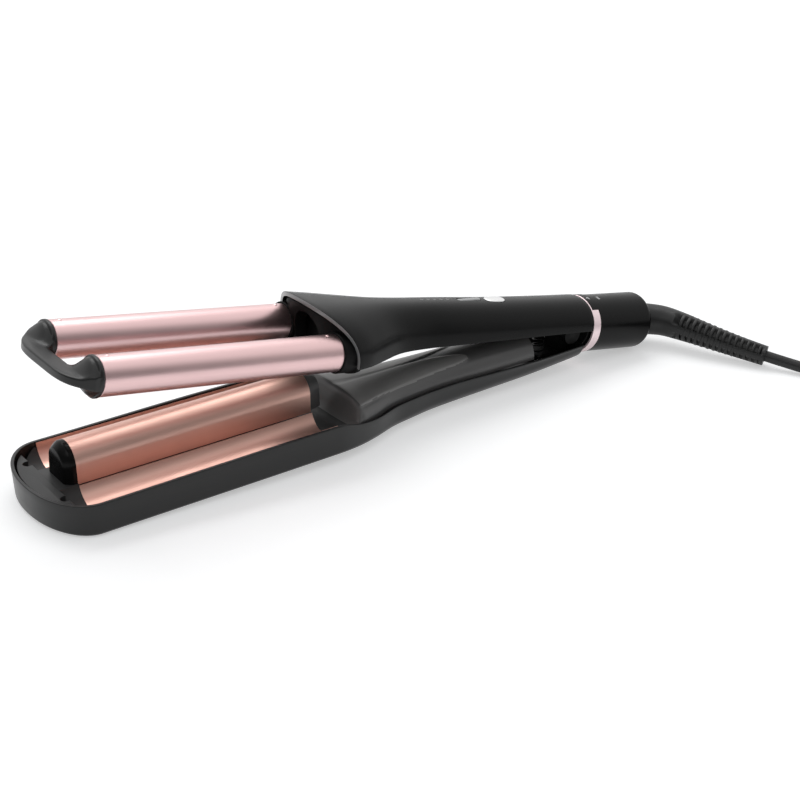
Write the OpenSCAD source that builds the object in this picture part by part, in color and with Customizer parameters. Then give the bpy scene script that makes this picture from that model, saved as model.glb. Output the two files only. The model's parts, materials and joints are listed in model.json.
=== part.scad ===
// Hair waver: two barrels on the upper arm press between three ridges of the lower
// arm. Both arms turn on one pin just ahead of the trim ring. Lengths are millimetres.
// Each arm is drawn along its own +X axis, which runs from the hinge pin to the tip.

/* [Barrels] */
// Outer diameter of each upper barrel
barrel_d = 17; // [15:0.5:18]
// Visible length of the barrels
barrel_len = 117; // [95:1:130]
// Distance from the hinge pin to the rear end of the barrels
barrel_start = 165.5; // [150:0.5:180]
// Distance between the centre lines of the upper barrels
barrel_pitch = 41.8; // [40:0.2:44]
// Wall thickness of the barrel tubes
barrel_wall = 1.2; // [0.8:0.1:1.6]
// Half width of the lower centre barrel
ridge_r = 8.8; // [7.5:0.1:9.2]
// Space left for the hair between an upper barrel and its trough
hair_gap = 1.9; // [1.5:0.1:2.2]
// Thickness of the trough plates
trough_wall = 1; // [0.8:0.1:1.2]

/* [Arms] */
// Angle between the arms when the waver is open
open_angle = 9.7; // [7:0.1:11]
// Slope of the lower arm, down towards the tip, as it stands
lower_dip = 2; // [1:0.1:3]
// Height of the upper barrel centre line over the pin
upper_axis = 7.4; // [6.5:0.1:8.5]
// Height of the lower barrel centre line over the pin
lower_axis = 9.6; // [8.5:0.1:10.5]
// Half width of the grip
grip_w = 15.8; // [14.5:0.1:17]
// Half width of the mouth that holds the upper barrels
bell_w = 32.7; // [31.5:0.1:34.5]
// Height of the top of the mouth over the pin
bell_top = 25.6; // [24:0.1:28]
// Height of the side edges of the upper housing over the pin
edge_up = 3; // [2.4:0.1:3.6]
// Wall thickness of the housings
shell_wall = 2.2; // [1.8:0.1:2.6]

/* [Tray] */
// Half width of the lower tray at its rim
tray_w = 32.4; // [31.8:0.1:34]
// Depth of the tray's underside below the pin
tray_drop = 11.2; // [10.4:0.1:12]
// Height of the tray's rim over the pin
tray_rim = 4.1; // [3.4:0.1:4.6]
// Wall thickness of the tray at its rim
rim_wall = 1.6; // [1.2:0.1:2]
// Length of the rounded nose ahead of the barrels
nose_len = 20.4; // [18:0.2:24]
// Rounding of the tray's lower edge
corner_r = 2.2; // [1.6:0.1:3.4]
// Draft of the tray's side walls
side_draft = 0.8; // [0.4:0.1:2]

/* [Tail] */
// Outer radius of the lock sleeve
tail_r = 15.2; // [14.6:0.1:15.6]
// Length of the tail behind the front face of the trim ring
tail_len = 47.6; // [42:0.2:56]
// Distance from the pin back to the trim ring
ring_back = 10.2; // [9.8:0.1:12]
// Width of the trim ring
ring_w = 5.7; // [4:0.1:7]
// Extra slope of the tail against the upper arm
tail_bend = 0.8; // [0:0.1:1.5]
// Half angle of the tongue that lies over the trim ring
tongue_half = 43; // [25:1:50]

/* [Hinge] */
// Diameter of the hinge pin
pin_d = 4; // [3:0.1:5]
// Radial running clearance of the pin in the lower knuckle
pin_play = 0.05; // [0.03:0.01:0.08]
// Half width of the lower knuckle
knuckle_w = 7.4; // [6:0.1:8]
// Thickness of each upper hinge ear
ear_t = 3.2; // [2.6:0.1:3.4]
// Radius of the ears and the knuckle around the pin
knuckle_r = 5.4; // [4.6:0.1:5.8]

/* [Controls] */
// Length of the power button
power_len = 12.4; // [10:0.2:15]
// Width of the power button
power_w = 7; // [5:0.2:8]
// Distance from the pin to the middle of the power button
power_x = 51.5; // [46:0.5:54]
// Length of the heat button
heat_len = 15; // [12:0.2:18]
// Width of the heat button
heat_w = 3; // [2.4:0.1:4]
// Distance from the pin to the middle of the heat button
heat_x = 69; // [68.5:0.5:72]
// Distance from the pin to the nearest indicator light
light_x = 83; // [81:0.5:88]
// Distance between indicator lights
light_step = 4.2; // [3.5:0.1:5]
// Radius of an indicator light
light_r = 0.9; // [0.6:0.1:1.2]
// Travel of the buttons
button_travel = 0.6; // [0.4:0.1:0.8]
// Gap round a button
button_gap = 0.3; // [0.2:0.05:0.4]

/* [Cord] */
// Diameter of the mains cord
cord_d = 6; // [5.4:0.1:6.4]
// Diameter of the strain relief where it leaves the tail
relief_d = 18; // [15:0.5:19]
// Diameter of the strain relief at its far end
relief_end_d = 11; // [8:0.5:12]

/* [Hidden] */

fine = 48;             // facets asked of round parts, read as true curves
arch_steps = 22;       // steps across a lofted housing
fit = 0.1;             // clearance between seated parts
barrel_r = barrel_d / 2;
barrel_end = barrel_start + barrel_len;
half_pitch = barrel_pitch / 2;
upper_rise = open_angle - lower_dip;
tail_rise = upper_rise + tail_bend;
nose_end = barrel_end + nose_len;
foot_x = barrel_end + nose_len / 2;       // foremost line of the flat underside

// where the pin stands: the underside's front edge touches the ground, the tail follows
pin_z = foot_x * sin(lower_dip) + tray_drop * cos(lower_dip);
tail_edge_r = 3.2;                        // rounding of the sleeve's rear edge
tail_axis = (ring_back * sin(upper_rise) + (tail_len - tail_edge_r) * sin(tail_rise)
    + tail_r * cos(tail_rise) - pin_z) / cos(upper_rise);
front_reach = nose_end * cos(lower_dip) + tray_rim * sin(lower_dip);
rear_reach = ring_back * cos(upper_rise) + tail_len * cos(tail_rise)
    + (tail_r - tail_edge_r) * sin(tail_rise) + tail_axis * sin(upper_rise);
pin_x = (rear_reach - front_reach) / 2;

module upper_place() translate([pin_x, 0, pin_z]) rotate([0, -upper_rise, 0]) children();
module lower_place() translate([pin_x, 0, pin_z]) rotate([0, lower_dip, 0]) children();
module tail_place()
    upper_place() translate([-ring_back, 0, tail_axis]) rotate([0, -tail_bend, 0]) children();

// ---- small helpers ----
module rod_x(r, x0, x1, y = 0, z = 0)
    translate([x0, y, z]) rotate([0, 90, 0]) cylinder(r = r, h = x1 - x0, $fn = fine);
module rod_y(r, y0, y1, x = 0, z = 0)
    translate([x, y0, z]) rotate([-90, 0, 0]) cylinder(r = r, h = y1 - y0, $fn = fine);
module rod_z(r, z0, z1, x = 0, y = 0)
    translate([x, y, z0]) cylinder(r = r, h = z1 - z0, $fn = fine);
module block(lo, hi) translate(lo) cube(hi - lo);
module both_sides() { children(); mirror([0, 1, 0]) children(); }
// extrudes a drawing in Y and Z along X
module prism_x(x0, x1)
    translate([x0, 0, 0]) rotate([90, 0, 90]) linear_extrude(height = x1 - x0) children();
// turns a drawing of radius against distance round the X axis
module turned() rotate([0, 90, 0]) rotate_extrude($fn = fine) children();
module oblong(len, wid) {
    square([len - wid, wid], center = true);
    for (s = [-1, 1]) translate([s * (len - wid) / 2, 0]) circle(d = wid, $fn = fine);
}

// smooth curve through rows of [x, value, value, ...]
function row_at(rows, x, i = 0) = i >= len(rows) - 2 || x <= rows[i + 1][0] ? i : row_at(rows, x, i + 1);
function row_slope(rows, i, c) = let(a = max(i - 1, 0), b = min(i + 1, len(rows) - 1))
    (rows[b][c] - rows[a][c]) / (rows[b][0] - rows[a][0]);
function track(rows, x, c) = let(
        i = row_at(rows, x), h = rows[i + 1][0] - rows[i][0],
        t = min(max((x - rows[i][0]) / h, 0), 1), s = 1 - t)
    rows[i][c] * s * s * (1 + 2 * t) + rows[i + 1][c] * t * t * (3 - 2 * t)
    + h * t * s * (s * row_slope(rows, i, c) - t * row_slope(rows, i + 1, c));

// solid through rings that pair their first half with their second
module loft(rings) {
    m = len(rings[0]);
    k = (len(rings) - 1) * m;
    sides = [for (j = [0 : len(rings) - 2]) for (i = [0 : m - 1])
        let(a = j * m + i, b = j * m + (i + 1) % m) each [[a + m, b + m, b], [a + m, b, a]]];
    first = [for (i = [0 : m / 2 - 2]) each [[i, i + 1, m - 2 - i], [i, m - 2 - i, m - 1 - i]]];
    last = [for (i = [0 : m / 2 - 2]) each
        [[k + m - 1 - i, k + m - 2 - i, k + i + 1], [k + m - 1 - i, k + i + 1, k + i]]];
    polyhedron([for (r = rings) each r], concat(sides, first, last), convexity = 8);
}
function power_of(v, e) = sign(v) * pow(abs(v), e);
// half ring over the X axis: w half width, base and top heights, e squareness, lean of the top
function arch(x, w, base, top, e, lean = 0) = [for (i = [0 : arch_steps]) let(a = 180 * i / arch_steps)
    [x + lean * sin(a) * sin(a), w * power_of(cos(a), 2 / e), base + (top - base) * pow(sin(a), 2 / e)]];
function back(list) = [for (i = [len(list) - 1 : -1 : 0]) list[i]];
function steps(a, b, n) = [for (i = [0 : n]) a + (b - a) * i / n];

// ---- upper arm ----
// [distance from pin, half width, top height, squareness, lean of the edge]
rim_x = barrel_start - 7;       // side corners of the mouth
upper_rows = [
    [-ring_back + 0.5, grip_w, tail_axis + tail_r + 0.5, 2.1, 0],
    [20, grip_w, 17.9, 2.15, 0],
    [55, grip_w + 0.4, 19.2, 2.2, 0],
    [90, grip_w + 0.9, 21, 2.3, 0],
    [108, grip_w + 1.3, 21.8, 2.3, 0.5],
    [124, grip_w + 3.6, 22.7, 2.35, 3],
    [140, bell_w - 6.5, 24.1, 2.4, 7],
    [150, bell_w - 2.2, 25, 2.45, 10],
    [rim_x, bell_w, bell_top, 2.5, 12]
];
upper_stations = concat(steps(-ring_back + 0.5, 108, 9), steps(114, rim_x, 9));
function upper_top(x) = track(upper_rows, x, 2);
function upper_half(x) = track(upper_rows, x, 1);
// half width of the housing's inside at a height
function inner_half(x, z) = let(e = track(upper_rows, x, 3), h = upper_top(x) - shell_wall - edge_up)
    (upper_half(x) - shell_wall) * pow(1 - pow(max(z - edge_up, 0) / h, e), 1 / e);
// station whose wall, which leans forward as it rises, stands at x at a height
function leaned(x, z) = x - track(upper_rows, x, 4)
    * pow((z - edge_up) / (upper_top(x) - shell_wall - edge_up), track(upper_rows, x, 3));
function upper_ring(x, inset) = arch(x, upper_half(x) - inset, edge_up, upper_top(x) - inset,
    track(upper_rows, x, 3), track(upper_rows, x, 4));

module button_openings() {
    translate([power_x, 0, edge_up]) linear_extrude(height = bell_top)
        oblong(power_len + 2 * button_gap, power_w + 2 * button_gap);
    translate([heat_x, 0, edge_up]) linear_extrude(height = bell_top)
        oblong(heat_len + 2 * button_gap, heat_w + 2 * button_gap);
}
module light_pins(r, z0, lift)
    for (i = [0 : 4]) let(x = light_x + i * light_step)
        rod_z(r, z0, upper_top(x) + lift, x);

module upper_shell() color("#232325") upper_place() difference() {
    loft([for (x = upper_stations) concat(upper_ring(x, 0), back(upper_ring(x, shell_wall)))]);
    button_openings();
    light_pins(light_r + 0.05, edge_up + 6, 2);
}

cover_x0 = 27;                  // the inner cover's rear end
collar_x0 = barrel_start - 13.5; // rear face of the collar
cover_x1 = collar_x0 - fit;     // the inner cover's front end
cover_z = 9.4;
cover_t = 1.6;
board_z = cover_z + cover_t + 0.6;
board_t = 1;
board_x0 = 38;
board_x1 = 106;
board_half = 7;
cover_stations = steps(cover_x0, cover_x1, 8);
function cover_edge(x) = inner_half(leaned(x, cover_z + cover_t), cover_z + cover_t) - 6 * fit;
screw_at = [34, 114];           // places of the cover's screws
screw_r = 1.2;
screw_head_r = 2.4;
screw_head_t = 1.2;
module upper_inner_cover() color("#1d1d1f") upper_place() {
    difference() {
        translate([0, 0, cover_z]) linear_extrude(height = cover_t)
            polygon(concat([for (x = cover_stations) [x, -cover_edge(x)]],
                back([for (x = cover_stations) [x, cover_edge(x)]])));
        for (x = screw_at) rod_z(screw_r, cover_z - 1, cover_z + cover_t + 1, x);
    }
    for (x = [board_x0 + 3, board_x1 - 3]) both_sides()
        rod_z(1.5, cover_z + cover_t, board_z, x, 5);
}
module upper_screws() color("#5a5a5e") upper_place() for (x = screw_at) {
    rod_z(screw_head_r, cover_z - screw_head_t, cover_z, x);
    rod_z(screw_r - 0.03, cover_z, cover_z + cover_t + 3, x);
}

// collar: heat proof block that fills the mouth, carries the barrels and spans the ridge
collar_front = rim_x - 2;
collar_lip = 2.4;               // cover under the barrels
collar_drop = edge_up - (upper_axis - barrel_r - collar_lip);
socket_depth = 7.5;
cuff_wall = 0.9;
pocket_back = barrel_start - 8.5; // back wall of the pocket that takes the centre barrel's root
function collar_ring(x, drop, inset) = concat(
    arch(x, upper_half(x) - inset, edge_up, upper_top(x) - inset, track(upper_rows, x, 3), track(upper_rows, x, 4)),
    back(arch(x, upper_half(x) - inset, edge_up, edge_up - drop, 2.3, 5)));
module collar_body()
    loft([for (q = [[collar_x0, 1.5, 2], [collar_x0 + 2, 4.5, 1], [rim_x - 4, collar_drop, 0.3],
            [collar_front, collar_drop, 0.1], [collar_front + 0.8, collar_drop - 1, 1.4]])
        collar_ring(min(q[0], rim_x), q[1], shell_wall + fit + q[2])]);
// a cuff round the root of each barrel, cut back where it passes the housing's wall
module barrel_cuffs() difference() {
    both_sides() rod_x(barrel_r + cuff_wall, collar_front, barrel_start - fit, half_pitch, upper_axis);
    loft([for (x = steps(collar_front - 8, rim_x + fit, 3))
        concat(upper_ring(x, -2), back(upper_ring(x, shell_wall + fit)))]);
}
module barrel_collar() color("#141415") upper_place() difference() {
    union() {
        collar_body();
        barrel_cuffs();
        prism_x(pocket_back - 2.6, pocket_back) ridge_outline(1.9, edge_up - 4);
    }
    both_sides() rod_x(barrel_r, barrel_start - socket_depth, barrel_start + 9, half_pitch, upper_axis);
    both_sides() rod_x(barrel_r - 3, collar_x0 - 1, barrel_start, half_pitch, upper_axis);
    prism_x(pocket_back, barrel_start + 9) ridge_outline(1.2, -20);
}

rivet_r = 0.9;
rivet_inset = 4.5;              // from each end of the visible barrel
module rivet_row(r, lift)
    for (x = [barrel_start + rivet_inset, barrel_end - rivet_inset])
        rod_z(r, upper_axis + barrel_r - barrel_wall - 1.2, upper_axis + barrel_r + lift, x, half_pitch);
module barrel_tube() difference() {
    rod_x(barrel_r, barrel_start - socket_depth, barrel_end, half_pitch, upper_axis);
    rod_x(barrel_r - barrel_wall, barrel_start - socket_depth - 1, barrel_end + 1,
        half_pitch, upper_axis);
    rivet_row(rivet_r, 1);
}
module barrel_left() color("#d9a9a0") upper_place() barrel_tube();
module barrel_right() color("#d9a9a0") upper_place() mirror([0, 1, 0]) barrel_tube();
module barrel_rivets() color("#c7988f") upper_place() both_sides() rivet_row(rivet_r, 0.1);

// heater: an aluminium core in the barrel with a flat ceramic plate in its slot
core_back = 8;                  // stops short of both barrel ends
core_r = barrel_r - barrel_wall;
ceramic_w = 9;
ceramic_t = 3.4;
module heater_slot(x0, x1, z)
    block([x0, -ceramic_w / 2, z - ceramic_t / 2], [x1, ceramic_w / 2, z + ceramic_t / 2]);
module upper_heater_cores() color("#b9bcc0") upper_place() both_sides() difference() {
    rod_x(core_r, barrel_start, barrel_end - core_back, half_pitch, upper_axis);
    translate([0, half_pitch, 0]) heater_slot(barrel_start - 1, barrel_end, upper_axis);
    rivet_row(rivet_r, 1);
}
module upper_heater_plates() color("#e8e4dc") upper_place() both_sides()
    translate([0, half_pitch, 0])
        heater_slot(barrel_start + 2, barrel_end - core_back - 2, upper_axis);

// tip: a flange on each barrel end, flared into a crescent that joins the two
cap_r = barrel_r + 0.3;
cap_flange = 2;
cap_len = 7.2;
tip_reach = 14.2;               // from the barrel ends to the front of the crescent
tip_half = half_pitch + cap_r - 0.4;
tip_bar = 8.2;                  // width of the crescent on the centre line
tip_low = upper_axis - 2.9;
tip_high = upper_axis + 1.3;
flare_r = cap_r - 0.9;          // the flare where it meets its flange
flare_w = 11;                   // half width of the flare's foot
flare_len = 8;
function tip_front(y) = barrel_end + tip_reach - (tip_reach - 2 * cap_flange) * pow(abs(y) / tip_half, 3.6);
function ease(v) = let(f = min(max(v, 0), 1)) f * f * (3 - 2 * f);
// the larger of two heights, with the corner between them rounded off
function blend(a, b) = (a + b + sqrt(pow(a - b, 2) + 1.5)) / 2;
function tip_back(y) = barrel_end + 0.2 + (tip_reach - tip_bar) * (1 - ease((abs(y) - 9) / 5));
function flare(x, y) = flare_r * pow(max(1 - pow((abs(y) - half_pitch) / flare_w, 2), 0), 1.2)
    * (1 - ease((x - barrel_end - cap_flange) / flare_len));
function tip_row(y, s) = let(x = tip_back(y) + (tip_front(y) - tip_back(y)) * s, edge = 0.9 * pow(abs(2 * s - 1), 6))
    [[x, y, blend(tip_high - 0.4, upper_axis + flare(x, y)) - edge],
        [x, y, -blend(-tip_low - 0.4, flare(x, y) - upper_axis) + edge]];
function tip_ring(y) = concat([for (s = steps(0, 1, 10)) tip_row(y, s)[0]],
    back([for (s = steps(0, 1, 10)) tip_row(y, s)[1]]));
cap_plug = 3;                   // how far a cap reaches into its barrel
module tip_bridge() color("#1c1c1e") upper_place() {
    loft([for (y = steps(-tip_half, tip_half, 44)) tip_ring(y)]);
    both_sides() {
        rod_x(cap_r, barrel_end, barrel_end + cap_flange, half_pitch, upper_axis);
        rod_x(core_r - 0.05, barrel_end - cap_plug, barrel_end, half_pitch, upper_axis);
    }
}

// controls
switch_h = 1.2;
plunger_h = 0.4;
button_base = board_z + board_t + switch_h + plunger_h + 0.05 + button_travel;
skirt = 0.9;                    // a button's skirt, which keeps it under the housing
module control_board() color("#2f6b3f") upper_place()
    block([board_x0, -board_half, board_z], [board_x1, board_half, board_z + board_t]);
module tact_switches() color("#b8b8b8") upper_place() for (x = [power_x, heat_x]) {
    block([x - 3, -2, board_z + board_t], [x + 3, 2, board_z + board_t + switch_h]);
    rod_z(1, board_z + board_t + switch_h, board_z + board_t + switch_h + plunger_h, x);
}
module button_solid(x, len, wid, lift) upper_place() translate([x, 0, button_base]) {
    linear_extrude(height = upper_top(x) + lift - button_base) oblong(len, wid);
    linear_extrude(height = skirt) oblong(len + 2 * skirt, wid + 2 * skirt);
}
module power_button() color("#d8d8da") button_solid(power_x, power_len, power_w, 0.3);
module heat_button() color("#e6e6e8") button_solid(heat_x, heat_len, heat_w, 0.25);
module indicator_lights() color("#c9c9cc") upper_place() light_pins(light_r, board_z + board_t, 0.06);

// hinge core: carries the pin in two ears and the tail on its spigot
spigot_r = tail_r - 3.7;
spigot_back = 6;                // the spigot stops short of the sleeve's end
core_low = knuckle_r + 0.6;
core_top = 11;
core_side = 9.6;
core_front = 19;
plate_x = -ring_back + 0.3;
plate_t = 1.4;
ear_y = knuckle_w + 0.3;
wire_r = 1;
wire_y = 5.5;
wire_z = knuckle_r + 1.6;
wire_bore = spigot_r - 2.3;
channel_top = wire_z + wire_r + 0.2;
module core_plate() prism_x(plate_x, plate_x + plate_t) {
    polygon([for (p = arch(0, grip_w - shell_wall - fit, edge_up, upper_top(plate_x) - shell_wall - 2 * fit, 2.1))
        [p[1], p[2]]]);
    intersection() {
        translate([0, tail_axis]) circle(r = spigot_r + 1.5, $fn = fine);
        translate([-20, -20]) square([40, 20 + edge_up]);
    }
}
module hinge_core() color("#19191a") difference() {
    union() {
        upper_place() {
            core_plate();
            block([plate_x, -core_side, core_low], [core_front, core_side, core_top]);
            both_sides() {
                rod_y(knuckle_r, ear_y, ear_y + ear_t);
                block([-knuckle_r, ear_y, 0], [knuckle_r, ear_y + ear_t, core_low + 1]);
            }
        }
        tail_place() rod_x(spigot_r, -tail_len + spigot_back, 1);
    }
    upper_place() rod_y(pin_d / 2, -20, 20);
    upper_place() block([-ring_back - 3, -wire_y - wire_r - 0.3, core_low - 0.2],
        [core_front + 1, wire_y + wire_r + 0.3, channel_top]);
    tail_place() rod_x(wire_bore, -tail_len, -1);
}
// two cores of the mains cord, from the tail past the pin and up to the board
wire_route = [[-43, wire_z - 0.6], [5, wire_z], [core_front - 3, wire_z - 0.1], [core_front + 2.5, wire_z + 1.4],
    [cover_x0 - 1.8, board_z], [cover_x0 + 3, board_z + 0.8], [board_x0 - 0.1, board_z + 0.8]];
module mains_wires() color("#c9b27a") upper_place() both_sides()
    tube([for (p = wire_route) [p[0], wire_y, p[1]]], [wire_r, wire_r], 8, 2);
// a fuse at the rear of each heater
fuse_r = 1.5;
module thermal_fuses() color("#b9b39a") upper_place() both_sides()
    rod_x(fuse_r, barrel_start - 7, barrel_start, half_pitch, upper_axis);
module lower_fuse() color("#b9b39a") lower_place()
    rod_x(fuse_r, barrel_start + 2, ridge_core_x, 0, lower_axis);
module hinge_pin() color("#a9abb0") upper_place()
    rod_y(pin_d / 2 - 0.01, -ear_y - ear_t, ear_y + ear_t);

// tail: the lock sleeve turns on the spigot and carries the trim ring
module sleeve_profile()
    polygon(concat([[spigot_r + 0.05, -0.4], [tail_r - 1, -0.4], [tail_r - 1, -ring_w], [tail_r, -ring_w]],
        // rear edge rounded by steps of an arc
        [for (a = [0 : 15 : 90]) [tail_r - tail_edge_r * (1 - cos(a)), -tail_len + tail_edge_r * (1 - sin(a))]],
        [[spigot_r + 0.35, -tail_len], [spigot_r + 0.35, -tail_len + 6], [tail_r - 2.2, -tail_len + 8],
            [tail_r - 2.2, -12], [spigot_r + 0.05, -10]]));
module tongue_sector(r) rotate([0, 90, 0])
    translate([0, 0, -ring_w]) rotate([0, 0, 180 - tongue_half])
        rotate_extrude(angle = 2 * tongue_half, $fn = fine) children();
module lock_sleeve() color("#202022") tail_place() {
    turned() sleeve_profile();
    tongue_sector() translate([tail_r - 1, 0]) square([1.3, ring_w - 1.1]);
}
module trim_ring() color("#e7c7c8") tail_place() difference() {
    rod_x(tail_r + 0.2, -ring_w, -0.3);
    rod_x(tail_r - 1, -ring_w - 1, 1);
    tongue_sector() translate([tail_r - 2, -1]) square([4, ring_w + 0.1]);
}
bushing_r = spigot_r - 1.4;
module tail_cap() color("#161617") tail_place() difference() {
    rod_x(spigot_r + 0.22, -tail_len + 0.4, -tail_len + spigot_back);
    rod_x(bushing_r + 0.08, -tail_len, -tail_len + spigot_back + 1);
}
// the cord's swivel: turns in the tail cap
neck_r = relief_d / 2 - 2.4;
module swivel_bushing() color("#2b2b2d") tail_place() difference() {
    rod_x(bushing_r, -tail_len - 0.2, -tail_len + spigot_back - 0.1);
    rod_x(neck_r + 0.08, -tail_len - 1, -tail_len + spigot_back + 1);
}

// ---- lower arm ----
// [distance from pin, half width, rim height, underside height, corner radius]
lower_rear = -5.8;
lower_rows = [
    [lower_rear, grip_w - 0.8, -6, -tray_drop - 3.6, 8],
    [28, grip_w - 0.5, -6, -tray_drop - 5, 7.6],
    [55, grip_w - 0.1, -5, -tray_drop - 5.2, 7.4],
    [80, grip_w + 0.4, -3.6, -tray_drop - 5.2, 7.2],
    [98, grip_w + 1.6, -3, -tray_drop - 4.8, 6.8],
    [110, grip_w + 3.2, -2.6, -tray_drop - 4.4, 6],
    [124, tray_w - 10.8, -2.2, -tray_drop - 3.6, 5],
    [140, tray_w - 5, -1.4, -tray_drop - 2.2, 4],
    [152, tray_w - 1.8, 0.6, -tray_drop - 1.1, 3],
    [barrel_start, tray_w, tray_rim, -tray_drop, corner_r],
    [barrel_end, tray_w, tray_rim, -tray_drop, corner_r]
];
function floor_z(x) = track(lower_rows, x, 3);
lower_stations = concat(steps(lower_rear, 98, 7), steps(106, barrel_start, 8), steps(barrel_start + 20, barrel_end, 3));
nose_turn = [14, 28, 42, 55, 66, 75, 82, 87];
nose_e = 2.1;
nose_pull = 5;                  // how far the underside is pulled in at the tip of the nose
// plan points of one level of the tub, pulled in by a draft and by a share of the corner radius
function tub_side(inset, share) = concat(
    [for (x = lower_stations) [max(x, lower_rear + inset + share * 2), track(lower_rows, x, 1) - inset
        - share * track(lower_rows, x, 4), x]],
    [for (a = nose_turn) let(d = inset + share * (corner_r + nose_pull * sin(a) * sin(a)))
        [barrel_end + (nose_len - d) * pow(sin(a), 2 / nose_e), (tray_w - d) * pow(cos(a), 2 / nose_e), barrel_end]]);
// height of a level: share of the corner radius over the underside, or the rim
function tub_ring(inset, share, lift, at_rim) = let(side = [for (p = tub_side(inset, share))
        [p[0], p[1], at_rim ? track(lower_rows, p[2], 2) + lift
            : track(lower_rows, p[2], 3) + lift * track(lower_rows, p[2], 4)]])
    concat([for (p = side) [p[0], -p[1], p[2]]], back(side));
function tub_low(inset, turn) = tub_ring(inset, 1 - sin(turn), 1 - cos(turn), false);
function tub_floor(inset, turn, t) = [for (p = tub_low(inset, turn)) p + [0, 0, t]];

module lower_shell() color("#222224") lower_place() difference() {
    loft(concat(
        [for (a = [0, 25, 50, 75]) tub_low(side_draft, a)],
        [tub_ring(side_draft * 0.6, 0, 1, false), tub_ring(0, 0, 0, true),
            tub_ring(rim_wall, 0, 0, true), tub_floor(side_draft + rim_wall, 90, 0)],
        [for (a = [60, 25, 0]) tub_floor(side_draft + rim_wall, a, shell_wall)]));
    lower_screw_holes();
}
foot_screws = [[barrel_start + 12, 18], [barrel_end - 12, 18]];
module lower_screw_holes() {
    for (s = foot_screws) both_sides() {
        rod_z(screw_head_r + 0.1, floor_z(s[0]) - 1, floor_z(s[0]) + 1, s[0], s[1]);
        rod_z(screw_r, floor_z(s[0]) - 1, floor_z(s[0]) + 4, s[0], s[1]);
    }
}
module lower_screws() color("#5a5a5e") lower_place() {
    for (s = foot_screws) both_sides() {
        rod_z(screw_head_r, floor_z(s[0]) + 0.1, floor_z(s[0]) + 1, s[0], s[1]);
        rod_z(screw_r - 0.03, floor_z(s[0]) + 1, floor_z(s[0]) + 3.2, s[0], s[1]);
    }
}

// knuckle: turns on the pin, screwed to the floor of the lower housing
foot_y = 6;
foot_x0 = lower_rear + side_draft + rim_wall + 3.2;
knuckle_foot = floor_z(foot_x0) + shell_wall + 0.9;
module hinge_knuckle() color("#19191a") lower_place() difference() {
    union() {
        rod_y(knuckle_r, -knuckle_w, knuckle_w);
        block([foot_x0, -knuckle_w, knuckle_foot + 4], [knuckle_r - 0.4, knuckle_w, 0]);
        block([foot_x0, -foot_y, knuckle_foot], [knuckle_r - 0.4, foot_y, knuckle_foot + 5]);
        block([foot_x0, -foot_y, knuckle_foot], [core_front, foot_y, knuckle_foot + 2]);
    }
    rod_y(pin_d / 2 + pin_play, -20, 20);
}

// spring between the knuckle's foot and the hinge core
spring_x = 13.5;
spring_r = 3.2;
spring_wire = 0.5;
spring_turns = 6;
module opening_spring() color("#9a9ca0")
    translate([pin_x + spring_x, 0, pin_z]) helix(spring_r, spring_wire,
        knuckle_foot + 2 - spring_x * sin(lower_dip) + spring_wire + 0.3,
        channel_top + spring_x * sin(upper_rise) - spring_wire - 0.5, spring_turns);
module helix(r, wire, z0, z1, turns) {
    n = turns * 12;
    loft([for (i = [0 : n]) let(a = 360 * turns * i / n, z = z0 + (z1 - z0) * i / n)
        [for (j = [0 : 5]) let(b = -60 * j) [(r + wire * cos(b)) * cos(a), (r + wire * cos(b)) * sin(a),
            z + wire * sin(b)]]]);
}

// cover of the lower grip: a crowned skin that opens into a bowl behind the barrels
lip_x = barrel_start - 18.5;
crown_top = 5.8;
// [distance from pin, half width, edge height, top height, squareness]
crown_rows = [
    [28, grip_w - 3.7, -6.6, 5, 2.3],
    [60, grip_w - 3.2, -5.8, 5.4, 2.3],
    [90, grip_w - 2.5, -4.6, crown_top, 2.3],
    [108, grip_w - 0.6, -4.2, crown_top + 0.2, 2.3],
    [124, tray_w - 14.4, -3.8, crown_top + 0.6, 2.4],
    [138, tray_w - 9, -3.4, crown_top + 1.2, 2.6],
    [lip_x, tray_w - 5.6, -2.8, crown_top + 1.8, 2.8]
];
function crown_ring(x, t) = arch(x, track(crown_rows, x, 1) - t, track(crown_rows, x, 2) - t / 2,
    track(crown_rows, x, 3) - t, track(crown_rows, x, 4));
// the last value is how far the underside is narrower than the top side
bowl_rows = [
    [lip_x + 0.8, tray_w - 5.8, -2.6, crown_top + 1.1, 2.8, 1.6],
    [lip_x + 2.5, tray_w - 5.2, -1, 3, 2.6, 0.6],
    [lip_x + 6, tray_w - 4.6, -0.6, -4, 2.3, -0.8],
    [lip_x + 11, tray_w - 4.2, 0.8, -5.8, 2.1, -0.8],
    [barrel_start - 0.6, tray_w - 3.8, 1.6, -6, 2, -0.8]
];
cover_wall = 1.6;
function bowl_ring(x, t) = arch(x, track(bowl_rows, x, 1) - t / cover_wall * track(bowl_rows, x, 5),
    track(bowl_rows, x, 2) - t, track(bowl_rows, x, 3) - t, track(bowl_rows, x, 4));
module lower_inner_cover() color("#262628") lower_place()
    loft(concat(
        [for (x = steps(28, lip_x, 12)) concat(crown_ring(x, 0), back(crown_ring(x, cover_wall)))],
        [for (x = steps(lip_x + 0.8, barrel_start - 0.6, 6))
            concat(bowl_ring(x, 0), back(bowl_ring(x, cover_wall)))]));

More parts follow.
